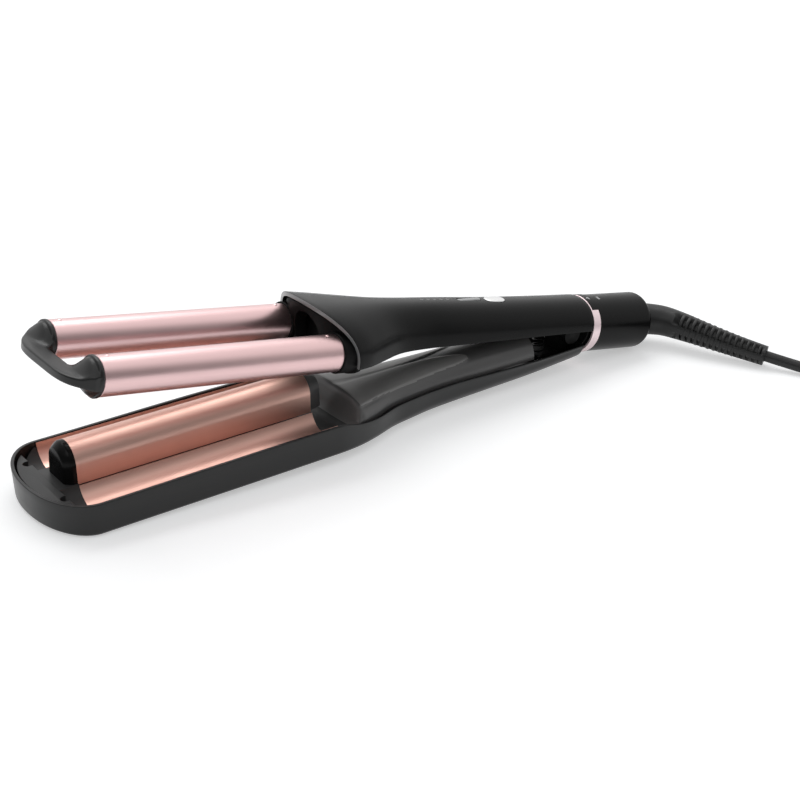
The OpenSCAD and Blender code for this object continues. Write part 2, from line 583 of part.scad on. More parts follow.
// centre barrel: round top on flanks that open a little towards the troughs
seam_z = 1.8;
flank_spread = 0.6;
function flank(z) = ridge_r + flank_spread * (lower_axis - z) / (lower_axis - seam_z);
module ridge_outline(grow, base = seam_z) intersection() {
    union() {
        translate([0, lower_axis]) circle(r = ridge_r + grow, $fn = fine);
        polygon([[-flank(base) - grow, base], [flank(base) + grow, base], [ridge_r + grow, lower_axis],
            [-ridge_r - grow, lower_axis]]);
    }
    translate([-20, base]) square([40, 60]);
}
module centre_barrel() color("#cf9586") lower_place() difference() {
    prism_x(barrel_start, barrel_end) ridge_outline(0);
    prism_x(barrel_start - 1, barrel_end + 1) ridge_outline(-barrel_wall, seam_z - 1);
}
trough_r = barrel_r + hair_gap;
trough_y = half_pitch - 0.9;
trough_z = upper_axis - 1.9;
// the tray's inner wall at a height between its floor's rounding and its rim
function tray_wall(z) = tray_w - rim_wall - fit - side_draft * (tray_rim - z) / (tray_rim + tray_drop - corner_r);
module trough_plate() prism_x(barrel_start, barrel_end) intersection() {
    translate([trough_y, trough_z]) difference() {
        circle(r = trough_r + trough_wall, $fn = fine);
        circle(r = trough_r, $fn = fine);
    }
    polygon([[0, -tray_drop], [tray_wall(-tray_drop), -tray_drop], [tray_wall(tray_rim), tray_rim - 0.3],
        [trough_y, tray_rim - 0.3], [trough_y, seam_z], [0, seam_z]]);
}
module trough_left() color("#d29a8a") lower_place() trough_plate();
module trough_right() color("#d29a8a") lower_place() mirror([0, 1, 0]) trough_plate();

ridge_cap = 5.2;                // length of the cap ahead of the centre barrel
module centre_cap() color("#1a1a1c") lower_place() hull() {
    prism_x(barrel_end, barrel_end + 1.5) ridge_outline(0);
    prism_x(barrel_end + 1.5, barrel_end + 3.4) intersection() {
        ridge_outline(-0.8);
        translate([-20, seam_z]) square([40, 40]);
    }
    prism_x(barrel_end + 3.4, barrel_end + ridge_cap) intersection() {
        ridge_outline(-2.6);
        translate([-20, seam_z]) square([40, 40]);
    }
}

// deck: fills the nose, with a pocket under each barrel cap and two round recesses
recess_x = barrel_end + 9.9;
recess_y = 17.5;
recess_r = 2.2;
recess_deep = 3;
deck_top = 2.4;
deck_low = -tray_drop + shell_wall + fit;
// plan of the nose inside the tray, pulled in by an inset
function nose_plan(inset) = concat(
    [for (a = concat([0], nose_turn)) [barrel_end + (nose_len - inset) * pow(sin(a), 2 / nose_e),
        -(tray_w - inset) * pow(cos(a), 2 / nose_e)]],
    back([for (a = concat([0], nose_turn)) [barrel_end + (nose_len - inset) * pow(sin(a), 2 / nose_e),
        (tray_w - inset) * pow(cos(a), 2 / nose_e)]]));
pocket_end = cap_len + 1.6;
module front_deck() color("#1b1b1d") lower_place() difference() {
    hull() {
        translate([0, 0, deck_low]) linear_extrude(height = 0.5)
            polygon(nose_plan(rim_wall + corner_r + nose_pull + 1.6));
        translate([0, 0, deck_low + 4]) linear_extrude(height = 0.5)
            polygon(nose_plan(side_draft + shell_wall + 0.5));
        translate([0, 0, deck_top - 0.5]) linear_extrude(height = 0.5) polygon(nose_plan(rim_wall + 0.9));
    }
    both_sides() {
        rod_x(trough_r, barrel_end - 1, barrel_end + pocket_end, trough_y, trough_z);
        rod_z(recess_r, deck_top - recess_deep, deck_top + 1, recess_x, recess_y);
    }
    block([barrel_end - 1, -flank(seam_z) - 0.1, seam_z], [barrel_end + ridge_cap + 0.1, flank(seam_z) + 0.1, 5]);
}
module rear_holder() color("#3a3a3c") lower_place() hull() {
    prism_x(barrel_start - 2, barrel_start) ridge_outline(-1.6);
    prism_x(barrel_start - 8, barrel_start - 6) intersection() {
        ridge_outline(-3);
        translate([-20, 0]) square([40, 16]);
    }
}
ridge_core_x = barrel_start + 10;
module lower_heater_core() color("#b9bcc0") lower_place() difference() {
    prism_x(ridge_core_x, barrel_end - core_back) ridge_outline(-barrel_wall);
    heater_slot(ridge_core_x - 1, barrel_end, lower_axis);
}
module lower_heater_plate() color("#e8e4dc") lower_place()
    heater_slot(ridge_core_x + 2, barrel_end - core_back - 2, lower_axis);

// ---- cord ----
// smooth curve through a route's points
function spline(r, i, t) = let(n = len(r) - 1, a = r[max(i - 1, 0)], b = r[i], c = r[i + 1], d = r[min(i + 2, n)])
    ((2 * b) + (c - a) * t + (2 * a - 5 * b + 4 * c - d) * t * t + (3 * b - a - 3 * c + d) * t * t * t) / 2;
function traced(r, per) = concat(
    [for (i = [0 : len(r) - 2]) for (k = [0 : per - 1]) spline(r, i, k / per)], [r[len(r) - 1]]);
function unit(v) = v / norm(v);
// tube along a route; radii are spread evenly along it
module tube(route, radii, sides, per) {
    path = traced(route, per);
    n = len(path) - 1;
    loft([for (i = [0 : n]) let(
            ahead = unit(path[min(i + 1, n)] - path[max(i - 1, 0)]),
            side = unit(cross([0, 0, 1], ahead)), up = cross(ahead, side),
            q = i / n * (len(radii) - 1), j = min(floor(q), len(radii) - 2),
            r = radii[j] + (radii[j + 1] - radii[j]) * (q - j))
        [for (k = [0 : sides - 1]) path[i] + r * (side * cos(360 * k / sides) + up * sin(360 * k / sides))]]);
}
// point on the tail's axis behind the sleeve's end
function behind(d) = let(s = -tail_len - d, x = -ring_back + s * cos(tail_bend), z = tail_axis + s * sin(tail_bend))
    [pin_x + x * cos(upper_rise) - z * sin(upper_rise), 0, pin_z + x * sin(upper_rise) + z * cos(upper_rise)];
cord_r = cord_d / 2;
tie_t = 0.5;                    // thickness of the tie, which the coil lies on
lay_z = cord_r + tie_t;
exit = behind(1);
// routes are measured from the exit in X and Y, and from the ground in Z
function from_exit(r) = [for (p = r) [exit[0] + p[0], p[1], p[2]]];
relief_route = concat([exit, behind(3), behind(7)], from_exit([[-14, 8, 13.6], [-19, 18, 12.8], [-25, 31, 11],
    [-33, 46, 8.5], [-41, 61, 6.4]]));
lead_route = from_exit([[-41, 61, 6.4], [-47, 71, 4.9], [-53, 82, lay_z + 0.3], [-59, 92, lay_z],
    [-65, 102, lay_z], [-71, 113, lay_z], [-75, 120, lay_z]]);
coil_at = [exit[0] - 118, 104, 0];
coil_in = 22;                   // centre line radii of the innermost and outermost turns
coil_out = 45;
coil_h = 2 * cord_d + 0.2;
end_route = from_exit([[-163, 94, lay_z + cord_d - 0.5], [-163, 87, lay_z + cord_d - 1.2], [-163, 79, 7.6],
    [-163, 70, 7], [-163, 62, 7]]);
module strain_relief() color("#1d1d1e") {
    tube(relief_route, [relief_d / 2, relief_d / 2 - 0.6, relief_d / 2 - 1.4, relief_end_d / 2 + 1,
        relief_end_d / 2 + 0.4, relief_end_d / 2], 12, 4);
    tail_place() rod_x(neck_r, -tail_len - 1.8, -tail_len + spigot_back - 0.4);
}
module cord_lead() color("#141415") tube(lead_route, [cord_r, cord_r], 10, 2);
module cord_end() color("#141415") tube(end_route, [cord_r, cord_r], 10, 2);
module cord_coil() color("#141415") translate(coil_at + [0, 0, tie_t]) rotate_extrude($fn = 96)
    polygon([[coil_in - cord_r + 1.5, 0], [coil_out + cord_r - 1.5, 0], [coil_out + cord_r, 1.5],
        [coil_out + cord_r, coil_h - 1.5], [coil_out + cord_r - 1.5, coil_h],
        [coil_in - cord_r + 1.5, coil_h], [coil_in - cord_r, coil_h - 1.5], [coil_in - cord_r, 1.5]]);
module cord_tie() color("#0f0f10") translate(coil_at) rotate([0, 0, 100]) {
    low = [coil_in - cord_r - fit - 0.5, -4, tie_t - fit / 2];
    high = [coil_out + cord_r + fit, 4, tie_t + coil_h + fit / 2];
    difference() {
        block([low[0] - tie_t, -4, 0], [high[0] + tie_t, 4, high[2] + tie_t]);
        block(low - [0, 1, 0], high + [0, 1, 0]);
    }
}
// flat plug with two round pins
plug_z = 7;
plug_len = 36;
plug_w = 35;
plug_t = 13.6;
plug_y = 62;
module plug_body() color("#151516") translate([exit[0] - 163, plug_y, plug_z - plug_t / 2])
    linear_extrude(height = plug_t)
        polygon([[-6, 0], [6, 0], [8, -9], [plug_w / 2, -plug_len + 12], [plug_w / 2, -plug_len + 2],
            [plug_w / 2 - 2, -plug_len], [-plug_w / 2 + 2, -plug_len], [-plug_w / 2, -plug_len + 2],
            [-plug_w / 2, -plug_len + 12], [-8, -9]]);
module plug_pins() color("#c8c8ca") for (s = [-9, 9])
    rod_y(2, plug_y - plug_len - 19, plug_y - plug_len, exit[0] - 163 + s, plug_z);

upper_shell();
upper_inner_cover();
barrel_collar();
barrel_left();
barrel_right();
barrel_rivets();
upper_heater_cores();
upper_heater_plates();
tip_bridge();
control_board();
tact_switches();
indicator_lights();
power_button();
heat_button();
hinge_core();
hinge_pin();
opening_spring();
upper_screws();
tail_cap();
trim_ring();
lock_sleeve();
lower_shell();
lower_inner_cover();
hinge_knuckle();
centre_barrel();
trough_left();
trough_right();
centre_cap();
front_deck();
rear_holder();
lower_heater_core();
lower_heater_plate();
lower_fuse();
lower_screws();
mains_wires();
thermal_fuses();
swivel_bushing();
strain_relief();
cord_lead();
cord_coil();
cord_end();
cord_tie();
plug_body();
plug_pins();
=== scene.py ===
import json
import math
import bpy
import bmesh
from mathutils import Matrix, Vector


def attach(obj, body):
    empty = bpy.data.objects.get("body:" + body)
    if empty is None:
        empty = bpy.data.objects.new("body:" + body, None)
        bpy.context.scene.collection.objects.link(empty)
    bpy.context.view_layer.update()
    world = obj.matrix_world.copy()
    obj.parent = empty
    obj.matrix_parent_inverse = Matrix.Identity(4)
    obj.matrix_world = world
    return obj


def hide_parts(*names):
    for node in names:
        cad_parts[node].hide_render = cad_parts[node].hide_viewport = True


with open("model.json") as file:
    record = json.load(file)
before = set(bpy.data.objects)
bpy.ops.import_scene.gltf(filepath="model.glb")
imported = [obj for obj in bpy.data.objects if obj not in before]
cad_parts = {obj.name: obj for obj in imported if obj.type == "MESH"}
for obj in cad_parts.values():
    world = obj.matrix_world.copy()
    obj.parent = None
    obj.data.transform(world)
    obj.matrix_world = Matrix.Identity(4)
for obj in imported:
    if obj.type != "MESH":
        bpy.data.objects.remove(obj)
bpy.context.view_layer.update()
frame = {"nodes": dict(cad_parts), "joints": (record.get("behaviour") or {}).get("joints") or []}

# every piece is drawn in millimetres along +X, from the hinge pin to the tip, and then put in its arm's place
arms = {"upperRise": 7.7, "lowerDip": 2.0, "tailRise": 8.5}
joints = {j["name"]: j for j in frame["joints"]}
toMetres = Matrix.Scale(0.001, 4)


def placeAt(joint, rise):
    turn = Matrix.Rotation(math.radians(-rise), 4, "Y")
    return Matrix.Translation(Vector(joints[joint]["pos_m"])) @ turn @ toMetres


upperPlace = placeAt("arm_hinge", arms["upperRise"])
lowerPlace = placeAt("arm_hinge", -arms["lowerDip"])
tailPlace = placeAt("lock_turn", arms["tailRise"])
# where a piece is drawn, with the body that carries it
homes = {"upper": (upperPlace, "upper_arm"), "lower": (lowerPlace, "lower_arm"),
         "tail": (tailPlace, "lock_sleeve"), "ground": (toMetres, "upper_arm")}

view = {"place": (0.39225, 0.4938, 0.31008), "back": (0.5759, 0.6954, 0.4299),
        "right": (-0.7869, 0.6140, 0.0609), "lens": 64.98, "sensor": 36, "nearest": 0.01}
cameraData = bpy.data.cameras.new("camera")
cameraData.lens = view["lens"]
cameraData.sensor_width = view["sensor"]
cameraData.clip_start = view["nearest"]
camera = bpy.data.objects.new("camera", cameraData)
bpy.context.collection.objects.link(camera)
back = Vector(view["back"]).normalized()
right = (Vector(view["right"]) - back * back.dot(Vector(view["right"]))).normalized()
up = back.cross(right)
camera.matrix_world = Matrix.Translation(view["place"]) @ Matrix((right, up, back)).transposed().to_4x4()
bpy.context.scene.camera = camera
print("camera placed")


# curves and sections
def smoothStep(t):
    t = min(max(t, 0), 1)
    return t * t * (3 - 2 * t)


def spread(a, b, n):
    return [a + (b - a) * i / n for i in range(n + 1)]


def track(rows, x, c):  # smooth curve through rows of [x, value, value, ...]
    i = 0
    while i < len(rows) - 2 and x > rows[i + 1][0]:
        i += 1

    def slope(k):
        low, high = rows[max(k - 1, 0)], rows[min(k + 1, len(rows) - 1)]
        return (high[c] - low[c]) / (high[0] - low[0])
    h = rows[i + 1][0] - rows[i][0]
    t = min(max((x - rows[i][0]) / h, 0), 1)
    s = 1 - t
    return (rows[i][c] * s * s * (1 + 2 * t) + rows[i + 1][c] * t * t * (3 - 2 * t)
            + h * t * s * (s * slope(i) - t * slope(i + 1)))


def arch(x, half, base, top, e, lean=0, n=56):  # half ring over the X axis, squarer as e grows
    points = []
    for i in range(n + 1):
        a = math.pi * i / n
        c, s = math.cos(a), max(math.sin(a), 0)
        points.append((x + lean * s * s, half * math.copysign(abs(c) ** (2 / e), c),
                       base + (top - base) * s ** (2 / e)))
    return points


def spline(route, per):  # smooth curve through a route's points
    points = []
    n = len(route) - 1
    for i in range(n):
        a, b, c, d = (Vector(route[k]) for k in (max(i - 1, 0), i, i + 1, min(i + 2, n)))
        for k in range(per):
            t = k / per
            points.append((2 * b + (c - a) * t + (2 * a - 5 * b + 4 * c - d) * t * t
                           + (3 * b - a - 3 * c + d) * t ** 3) / 2)
    return points + [Vector(route[n])]


def carried(points):  # a side and an up for each point of a path, carried along it without twist
    last = len(points) - 1
    ahead = [(points[min(i + 1, last)] - points[max(i - 1, 0)]).normalized() for i in range(last + 1)]
    upNow = Vector((0, 0, 1))
    frames = []
    for d in ahead:
        side = upNow.cross(d).normalized()
        upNow = d.cross(side).normalized()
        frames.append((side, upNow))
    return frames


# shapes: (points, faces) in millimetres
def loft(rings, ends="pairs", closed=False):
    m, n = len(rings[0]), len(rings)
    points = [tuple(p) for r in rings for p in r]
    faces = []
    for j in range(n if closed else n - 1):
        a, b = j * m, ((j + 1) % n) * m
        faces += [(a + i, a + (i + 1) % m, b + (i + 1) % m, b + i) for i in range(m)]
    if not closed:
        for k in (0, (n - 1) * m):
            if ends == "pairs":  # the ring's first half stands across from its second
                faces += [(k + i, k + i + 1, k + m - 2 - i, k + m - 1 - i) for i in range(m // 2 - 1)]
            elif ends == "flat":
                faces.append(tuple(k + i for i in range(m)))
    return points, faces


def joined(*shapes):
    points, faces = [], []
    for p, f in shapes:
        faces += [tuple(i + len(points) for i in face) for face in f]
        points += p
    return points, faces


def shifted(shape, dy, dz):
    return [(p[0], p[1] + dy, p[2] + dz) for p in shape[0]], shape[1]


def mirrored(shape):
    return [(p[0], -p[1], p[2]) for p in shape[0]], shape[1]


def lathe(profile, n=96, closed=False):  # rings of (x, radius) round the X axis
    rings = [[(x, r * math.cos(2 * math.pi * i / n), r * math.sin(2 * math.pi * i / n)) for i in range(n)]
             for x, r in profile]
    return loft(rings, "flat", closed)


def standingLathe(profile, n=24):  # rings of (z, radius) round the Z axis
    points, faces = lathe(profile, n)
    return [(p[1], p[2], p[0]) for p in points], faces


def rodX(r, x0, x1, y, z, n=64):
    return shifted(lathe([(x0, r), (x1, r)], n), y, z)


def prismX(outline, x0, x1):  # outline of (y, z) drawn out along X
    return loft([[(x, y, z) for y, z in outline] for x in (x0, x1)], "flat")


def prismZ(outline, z0, z1, x=0, y=0):  # outline of (x, y) drawn out along Z
    return loft([[(x + u, y + v, z) for u, v in outline] for z in (z0, z1)], "flat")


def rodZ(r, z0, z1, x, y=0, n=32):
    return prismZ([(r * math.cos(2 * math.pi * i / n), r * math.sin(2 * math.pi * i / n)) for i in range(n)],
                  z0, z1, x, y)


def oblong(length, width, n=16):
    points = []
    for s, first in ((1, -90), (-1, 90)):
        for i in range(n + 1):
            a = math.radians(first + 180 * i / n)
            points.append((s * (length - width) / 2 + width / 2 * math.cos(a), width / 2 * math.sin(a)))
    return points


def tube(points, radius, sides):
    turns = [2 * math.pi * k / sides for k in range(sides)]
    rings = [[p + radius * (side * math.cos(a) + upward * math.sin(a)) for a in turns]
             for p, (side, upward) in zip(points, carried(points))]
    return loft(rings, "flat")


# pieces
def meshOf(name, shape):
    mesh = bpy.data.meshes.new(name)
    mesh.from_pydata([tuple(p) for p in shape[0]], [], shape[1])
    work = bmesh.new()
    work.from_mesh(mesh)
    bmesh.ops.remove_doubles(work, verts=work.verts, dist=0.0005)
    bmesh.ops.recalc_face_normals(work, faces=work.faces)
    work.to_mesh(mesh)
    work.free()
    return mesh


def newObject(name, data):
    thing = bpy.data.objects.new(name, data)
    bpy.context.collection.objects.link(thing)
    return thing


def addStep(thing, name, kind, **settings):
    step = thing.modifiers.new(name, kind)
    for key, value in settings.items():
        setattr(step, key, value)
    return step


def settled(thing):  # the object with its modifiers worked into its mesh
    graph = bpy.context.evaluated_depsgraph_get()
    mesh = bpy.data.meshes.new_from_object(thing.evaluated_get(graph))
    thing.modifiers.clear()
    old, thing.data = thing.data, mesh
    bpy.data.meshes.remove(old)
    return thing


def combine(thing, other, operation):
    tool = newObject("tool", meshOf("tool", other))
    addStep(thing, operation, "BOOLEAN", operation=operation, solver="EXACT", object=tool)
    settled(thing)
    bpy.data.objects.remove(tool)


def soften(thing, width, angle, segments):
    addStep(thing, "edges", "BEVEL", width=width, segments=segments, limit_method="ANGLE",
            angle_limit=math.radians(angle), harden_normals=False)
    settled(thing)


def dressed(thing, place, body, look, nodes, slot, crease=32):
    mesh = thing.data
    mesh.transform(place)
    mesh.materials.clear()
    mesh.materials.append(materials[look])
    for face in mesh.polygons:
        face.material_index = 0
    mesh.polygons.foreach_set("use_smooth", [True] * len(mesh.polygons))
    mesh.set_sharp_from_angle(angle=math.radians(crease))
    mesh.update()
    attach(thing, body)
    if nodes:
        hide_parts(*nodes)
    return thing


# adds and cuts come before the soft edge (width, angle, segments), and the cuts in after come behind it
def makePiece(name, shape, home, look, nodes, slot, body=None, adds=(), cuts=(), edge=None, after=(),
              crease=32):
    thing = newObject(name, meshOf(name, shape))
    for other in adds:
        combine(thing, other, "UNION")
    for other in cuts:
        combine(thing, other, "DIFFERENCE")
    if edge:
        soften(thing, *edge)
    for other in after:
        combine(thing, other, "DIFFERENCE")
    return dressed(thing, homes[home][0], body or homes[home][1], look, nodes, slot, crease)


# node trees
def newTree(name, kind, inputs, outputs):  # sockets as label: (type, value)
    tree = bpy.data.node_groups.new(name, kind)
    for way, sockets in (("INPUT", inputs), ("OUTPUT", outputs)):
        for label, (socketType, value) in sockets.items():
            socket = tree.interface.new_socket(label, in_out=way, socket_type="NodeSocket" + socketType)
            if value is not None:
                socket.default_value = value
    return tree, tree.nodes.new("NodeGroupInput"), tree.nodes.new("NodeGroupOutput")


def addNode(tree, kind, values=None, **settings):
    node = tree.nodes.new(kind)
    for key, value in settings.items():
        setattr(node, key, value)
    for label, value in (values or {}).items():
        node.inputs[label].default_value = value
    return node


def rangeValues(span, low=0, high=1):  # inputs of a Map Range node
    return {"From Min": span[0], "From Max": span[1], "To Min": low, "To Max": high}


def wire(tree, *wires):  # each wire is (node, output, node, input)
    for source, output, target, entry in wires:
        tree.links.new(source.outputs[output], target.inputs[entry])


# fine moulded grain: a height, and a mask that says where it is matter
def mouldedGrain():
    group, given, result = newTree(
        "mouldedGrain", "ShaderNodeTree", {"Scale": ("Float", 4000.0), "Patch Scale": ("Float", 90.0)},
        {"Height": ("Float", None), "Mask": ("Float", None)})
    place = addNode(group, "ShaderNodeTexCoord")
    grain = addNode(group, "ShaderNodeTexNoise", {"Detail": 3}, noise_dimensions="3D")
    patch = addNode(group, "ShaderNodeTexNoise", {"Detail": 4, "Roughness": 0.6}, noise_dimensions="3D")
    wire(group,
         (place, "Object", grain, "Vector"), (place, "Object", patch, "Vector"),
         (given, "Scale", grain, "Scale"), (given, "Patch Scale", patch, "Scale"),
         (grain, "Fac", result, "Height"), (patch, "Fac", result, "Mask"))
    return group


# drawn metal: fine lines that run along the arm
def drawnMetal():
    group, given, result = newTree(
        "drawnMetal", "ShaderNodeTree", {"Tilt": ("Float", 0.0), "Line Scale": ("Float", 900.0)},
        {"Height": ("Float", None), "Mask": ("Float", None)})
    place = addNode(group, "ShaderNodeTexCoord")
    turn = addNode(group, "ShaderNodeCombineXYZ")
    along = addNode(group, "ShaderNodeMapping", {"Scale": (60, 1, 1)}, vector_type="TEXTURE")
    lines = addNode(group, "ShaderNodeTexNoise", {"Detail": 4}, noise_dimensions="3D")
    cloud = addNode(group, "ShaderNodeTexNoise", {"Scale": 70}, noise_dimensions="3D")
    wire(group,
         (given, "Tilt", turn, "Y"), (turn, "Vector", along, "Rotation"), (place, "Object", along, "Vector"),
         (along, "Vector", lines, "Vector"), (given, "Line Scale", lines, "Scale"),
         (place, "Object", cloud, "Vector"), (lines, "Fac", result, "Height"), (cloud, "Fac", result, "Mask"))
    return group


grainGroup, drawnGroup = mouldedGrain(), drawnMetal()


def grey(v, warm=0.0):
    return (v * (1 + warm), v, v * (1 - warm))


# two colours that the pattern blends, low and high roughness, pattern scale, and depth in micrometres
def look(colour, colourTwo, rough, scale, depth, **more):
    colours = [c if isinstance(c, tuple) else grey(c) for c in (colour, colourTwo)]
    plain = {"metal": 0, "tilt": None, "bump": 0.4, "level": 0.5, "coat": 0, "coatRough": 0.15}
    return {**plain, "colours": colours, "rough": rough, "scale": scale, "depth": depth / 1000000, **more}


def finish(name, given):  # a tilt, in degrees, makes it drawn metal
    material = bpy.data.materials.new(name)
    material.use_nodes = True
    tree = material.node_tree
    shader = next(n for n in tree.nodes if n.type == "BSDF_PRINCIPLED")
    drawn = given["tilt"] is not None
    if drawn:
        group, sizes = drawnGroup, {"Tilt": math.radians(given["tilt"]), "Line Scale": given["scale"]}
    else:
        group, sizes = grainGroup, {"Scale": given["scale"], "Patch Scale": 90}
    effect = addNode(tree, "ShaderNodeGroup", sizes, node_tree=group)
    first, second = given["colours"]
    mix = addNode(tree, "ShaderNodeMix", {"A": (*first, 1), "B": (*second, 1)}, data_type="RGBA")
    rough = addNode(tree, "ShaderNodeMapRange", rangeValues((0.3, 0.7), *given["rough"]))
    bump = addNode(tree, "ShaderNodeBump", {"Strength": given["bump"], "Distance": given["depth"]})
    wire(tree,
         (effect, "Height" if drawn else "Mask", mix, "Factor"), (mix, "Result", shader, "Base Color"),
         (effect, "Mask", rough, "Value"), (rough, "Result", shader, "Roughness"),
         (effect, "Height", bump, "Height"), (bump, "Normal", shader, "Normal"))
    for key, label in (("metal", "Metallic"), ("level", "Specular IOR Level"), ("coat", "Coat Weight"),
                       ("coatRough", "Coat Roughness")):
        shader.inputs[label].default_value = given[key]
    return material


looks = {
    "satinBlack": look(0.004, 0.006, (0.2, 0.26), 3500, 10, bump=0.2, level=0.1),
    "trayBlack": look(0.005, 0.007, (0.3, 0.36), 3500, 10, bump=0.2, level=0.42),
    "tipBlack": look(0.009, 0.012, (0.28, 0.34), 3500, 10, bump=0.2, level=0.4),
    "deckBlack": look(0.022, 0.028, (0.4, 0.48), 3000, 20, bump=0.25, level=0.35),
    "innerBlack": look(0.007, 0.010, (0.4, 0.5), 3000, 30, level=0.3),
    "holderBlack": look(0.003, 0.005, (0.5, 0.6), 2600, 30, level=0.12),
    # painted reflection: the grip cover's black skin is painted grey in place of the bright room it reflects
    "coverReflectionGrey": look(grey(0.085, 0.02), grey(0.1, 0.02), (0.3, 0.36), 3200, 20, bump=0.25, level=0.45),
    # painted highlight: the raised leaf is painted lighter in place of the light its slope catches
    "leafHighlightGrey": look(grey(0.19, 0.03), grey(0.215, 0.03), (0.3, 0.36), 3200, 20, bump=0.25, level=0.45),
    "holderGrey": look(0.06, 0.075, (0.45, 0.55), 2600, 30),
    "roseMetal": look((0.77, 0.52, 0.52), (0.81, 0.57, 0.57), (0.32, 0.36), 2600, 1, metal=1,
                      tilt=-arms["upperRise"], bump=0.05, coat=0.5, coatRough=0.3),
    "copperMetal": look((0.76, 0.46, 0.38), (0.81, 0.51, 0.43), (0.38, 0.44), 2600, 1, metal=1,
                        tilt=arms["lowerDip"], bump=0.05, coat=0.2, coatRough=0.3),
    # painted highlight: the housing's front edge is light grey in place of a reflection, with a glossier
    # finish
    "paintedLipHighlight": look(0.2, 0.23, (0.2, 0.28), 4000, 10, bump=0.2, level=0.8),
    "pinkTrim": look((0.97, 0.77, 0.79), (1.0, 0.83, 0.85), (0.3, 0.36), 5000, 10, metal=0.55, coat=0.1),
    "silverButton": look(0.8, 0.86, (0.25, 0.33), 5000, 10, metal=1),
    "dimMark": look(0.12, 0.16, (0.35, 0.45), 3000, 10),
    "lightMark": look(0.36, 0.44, (0.35, 0.45), 3000, 10),
    "rubberBlack": look(0.008, 0.012, (0.38, 0.46), 2200, 30, level=0.4),
    "cordBlack": look(0.011, 0.016, (0.38, 0.5), 2600, 30, level=0.4),
    "plugBlack": look(0.014, 0.02, (0.36, 0.46), 2800, 30, level=0.42),
    "pinMetal": look(grey(0.62, 0.03), grey(0.7, 0.02), (0.22, 0.32), 4000, 10, metal=1),
    "darkSteel": look(0.012, 0.018, (0.45, 0.55), 4000, 10, metal=1),
    "screwSteel": look(0.3, 0.38, (0.28, 0.4), 4000, 10, metal=1),
    "heaterMetal": look(0.6, 0.68, (0.38, 0.5), 2000, 20, metal=1),
    "ceramicPlate": look((0.75, 0.72, 0.66), (0.8, 0.77, 0.72), (0.5, 0.6), 3000, 20),
    "boardGreen": look((0.02, 0.12, 0.04), (0.03, 0.16, 0.06), (0.4, 0.5), 1500, 20),
    "switchGrey": look(0.42, 0.5, (0.35, 0.45), 2500, 20),
    "wireCover": look((0.55, 0.42, 0.2), (0.6, 0.47, 0.24), (0.5, 0.6), 2500, 30),
    "fuseTan": look((0.42, 0.38, 0.26), (0.48, 0.43, 0.3), (0.45, 0.55), 2500, 20),
}
materials = {name: finish(name, given) for name, given in looks.items()}
print("materials made:", len(materials))

# cord, laid from the tail to its plug
cordSizes = {"radius": 3.0, "sides": 14, "layHeight": 3.5, "coilOut": 45.0, "pitch": 6.2, "lowerTurns": 3.7,
             "climbTurns": 0.15, "upperTurns": 3.565, "upperHeight": 9.6, "startAngle": 31.0,
             "pointsPerTurn": 24}
tailSizes = {"length": 47.6, "radius": 15.2, "edge": 3.2, "ringWidth": 5.7, "spigot": 11.5, "wall": 2.2,
             "ringSeat": 14.2, "front": -0.4, "fit": 0.05, "mouthGap": 0.35}


def behindTail(d):  # a point on the tail's axis, in millimetres of the ground frame
    return (tailPlace @ Vector((-tailSizes["length"] - d, 0, 0))) * 1000


cordExit = behindTail(1)


def fromExit(route):  # X and Y from the exit, Z from the ground
    return [Vector((cordExit.x + x, y, z)) for x, y, z in route]


reliefRoute = [cordExit, behindTail(3), behindTail(7)] + fromExit(
    [(-14, 8, 13.6), (-19, 18, 12.8), (-25, 31, 11), (-33, 46, 8.5), (-41, 61, 6.4)])
leadRoute = fromExit([(-47, 71, 4.9), (-53, 82, 3.8), (-59, 92, 3.5), (-65, 102, 3.5), (-71, 113, 3.5)])
endRoute = fromExit([(-163, 94, 9.0), (-163, 87, 8.3), (-163, 79, 7.6), (-163, 70, 7), (-163, 60, 7)])
coilCentre = Vector((cordExit.x - 118, 104, 0))


def coilPoints(c):  # inwards on the ground, up, and outwards again on top
    points = []
    total = c["lowerTurns"] + c["climbTurns"] + c["upperTurns"]
    count = round(total * c["pointsPerTurn"])
    for i in range(count + 1):
        t = total * i / count
        rest = t - c["lowerTurns"] - c["climbTurns"]
        radius = c["coilOut"] - c["pitch"] * min(t, c["lowerTurns"]) + c["pitch"] * max(rest, 0)
        lift = smoothStep((t - c["lowerTurns"]) / c["climbTurns"])
        angle = math.radians(c["startAngle"] + 360 * t)
        points.append(coilCentre + Vector((radius * math.cos(angle), radius * math.sin(angle),
                                           c["layHeight"] + (c["upperHeight"] - c["layHeight"]) * lift)))
    return points


cordPath = spline(reliefRoute + leadRoute, 3) + coilPoints(cordSizes) + spline(endRoute, 3)
cord = makePiece("mainsCord", tube(cordPath, cordSizes["radius"], cordSizes["sides"]), "ground", "cordBlack",
                 ["cord_lead", "cord_coil", "cord_end"], "cord_black")

strap = {"angle": 100, "halfWidth": 4.0, "inner": 18.3, "outer": 48.3, "low": 0.25, "top": 13.15,
         "thick": 0.5, "corner": 2.0}


def strapShape(s):  # a flat band bent round one side of the coil
    a = math.radians(s["angle"])
    corner = s["corner"]
    inner, outer, low, top = s["inner"] + corner, s["outer"] - corner, s["low"] + corner, s["top"] - corner
    loop = []
    for r, z, first in ((outer, top, 0), (inner, top, 90), (inner, low, 180), (outer, low, 270)):
        for k in range(7):
            b = math.radians(first + 15 * k)
            loop.append((r + corner * math.cos(b), z + corner * math.sin(b), b))
    rings = []
    for r, z, b in loop:
        ring = []
        for across, out in ((-1, -0.5), (1, -0.5), (1, 0.5), (-1, 0.5)):
            rr = r + out * s["thick"] * math.cos(b)
            zz = z + out * s["thick"] * math.sin(b)
            w = across * s["halfWidth"]
            ring.append((coilCentre.x + rr * math.cos(a) - w * math.sin(a),
                         coilCentre.y + rr * math.sin(a) + w * math.cos(a), max(zz, 0)))
        rings.append(ring)
    return loft(rings, closed=True)


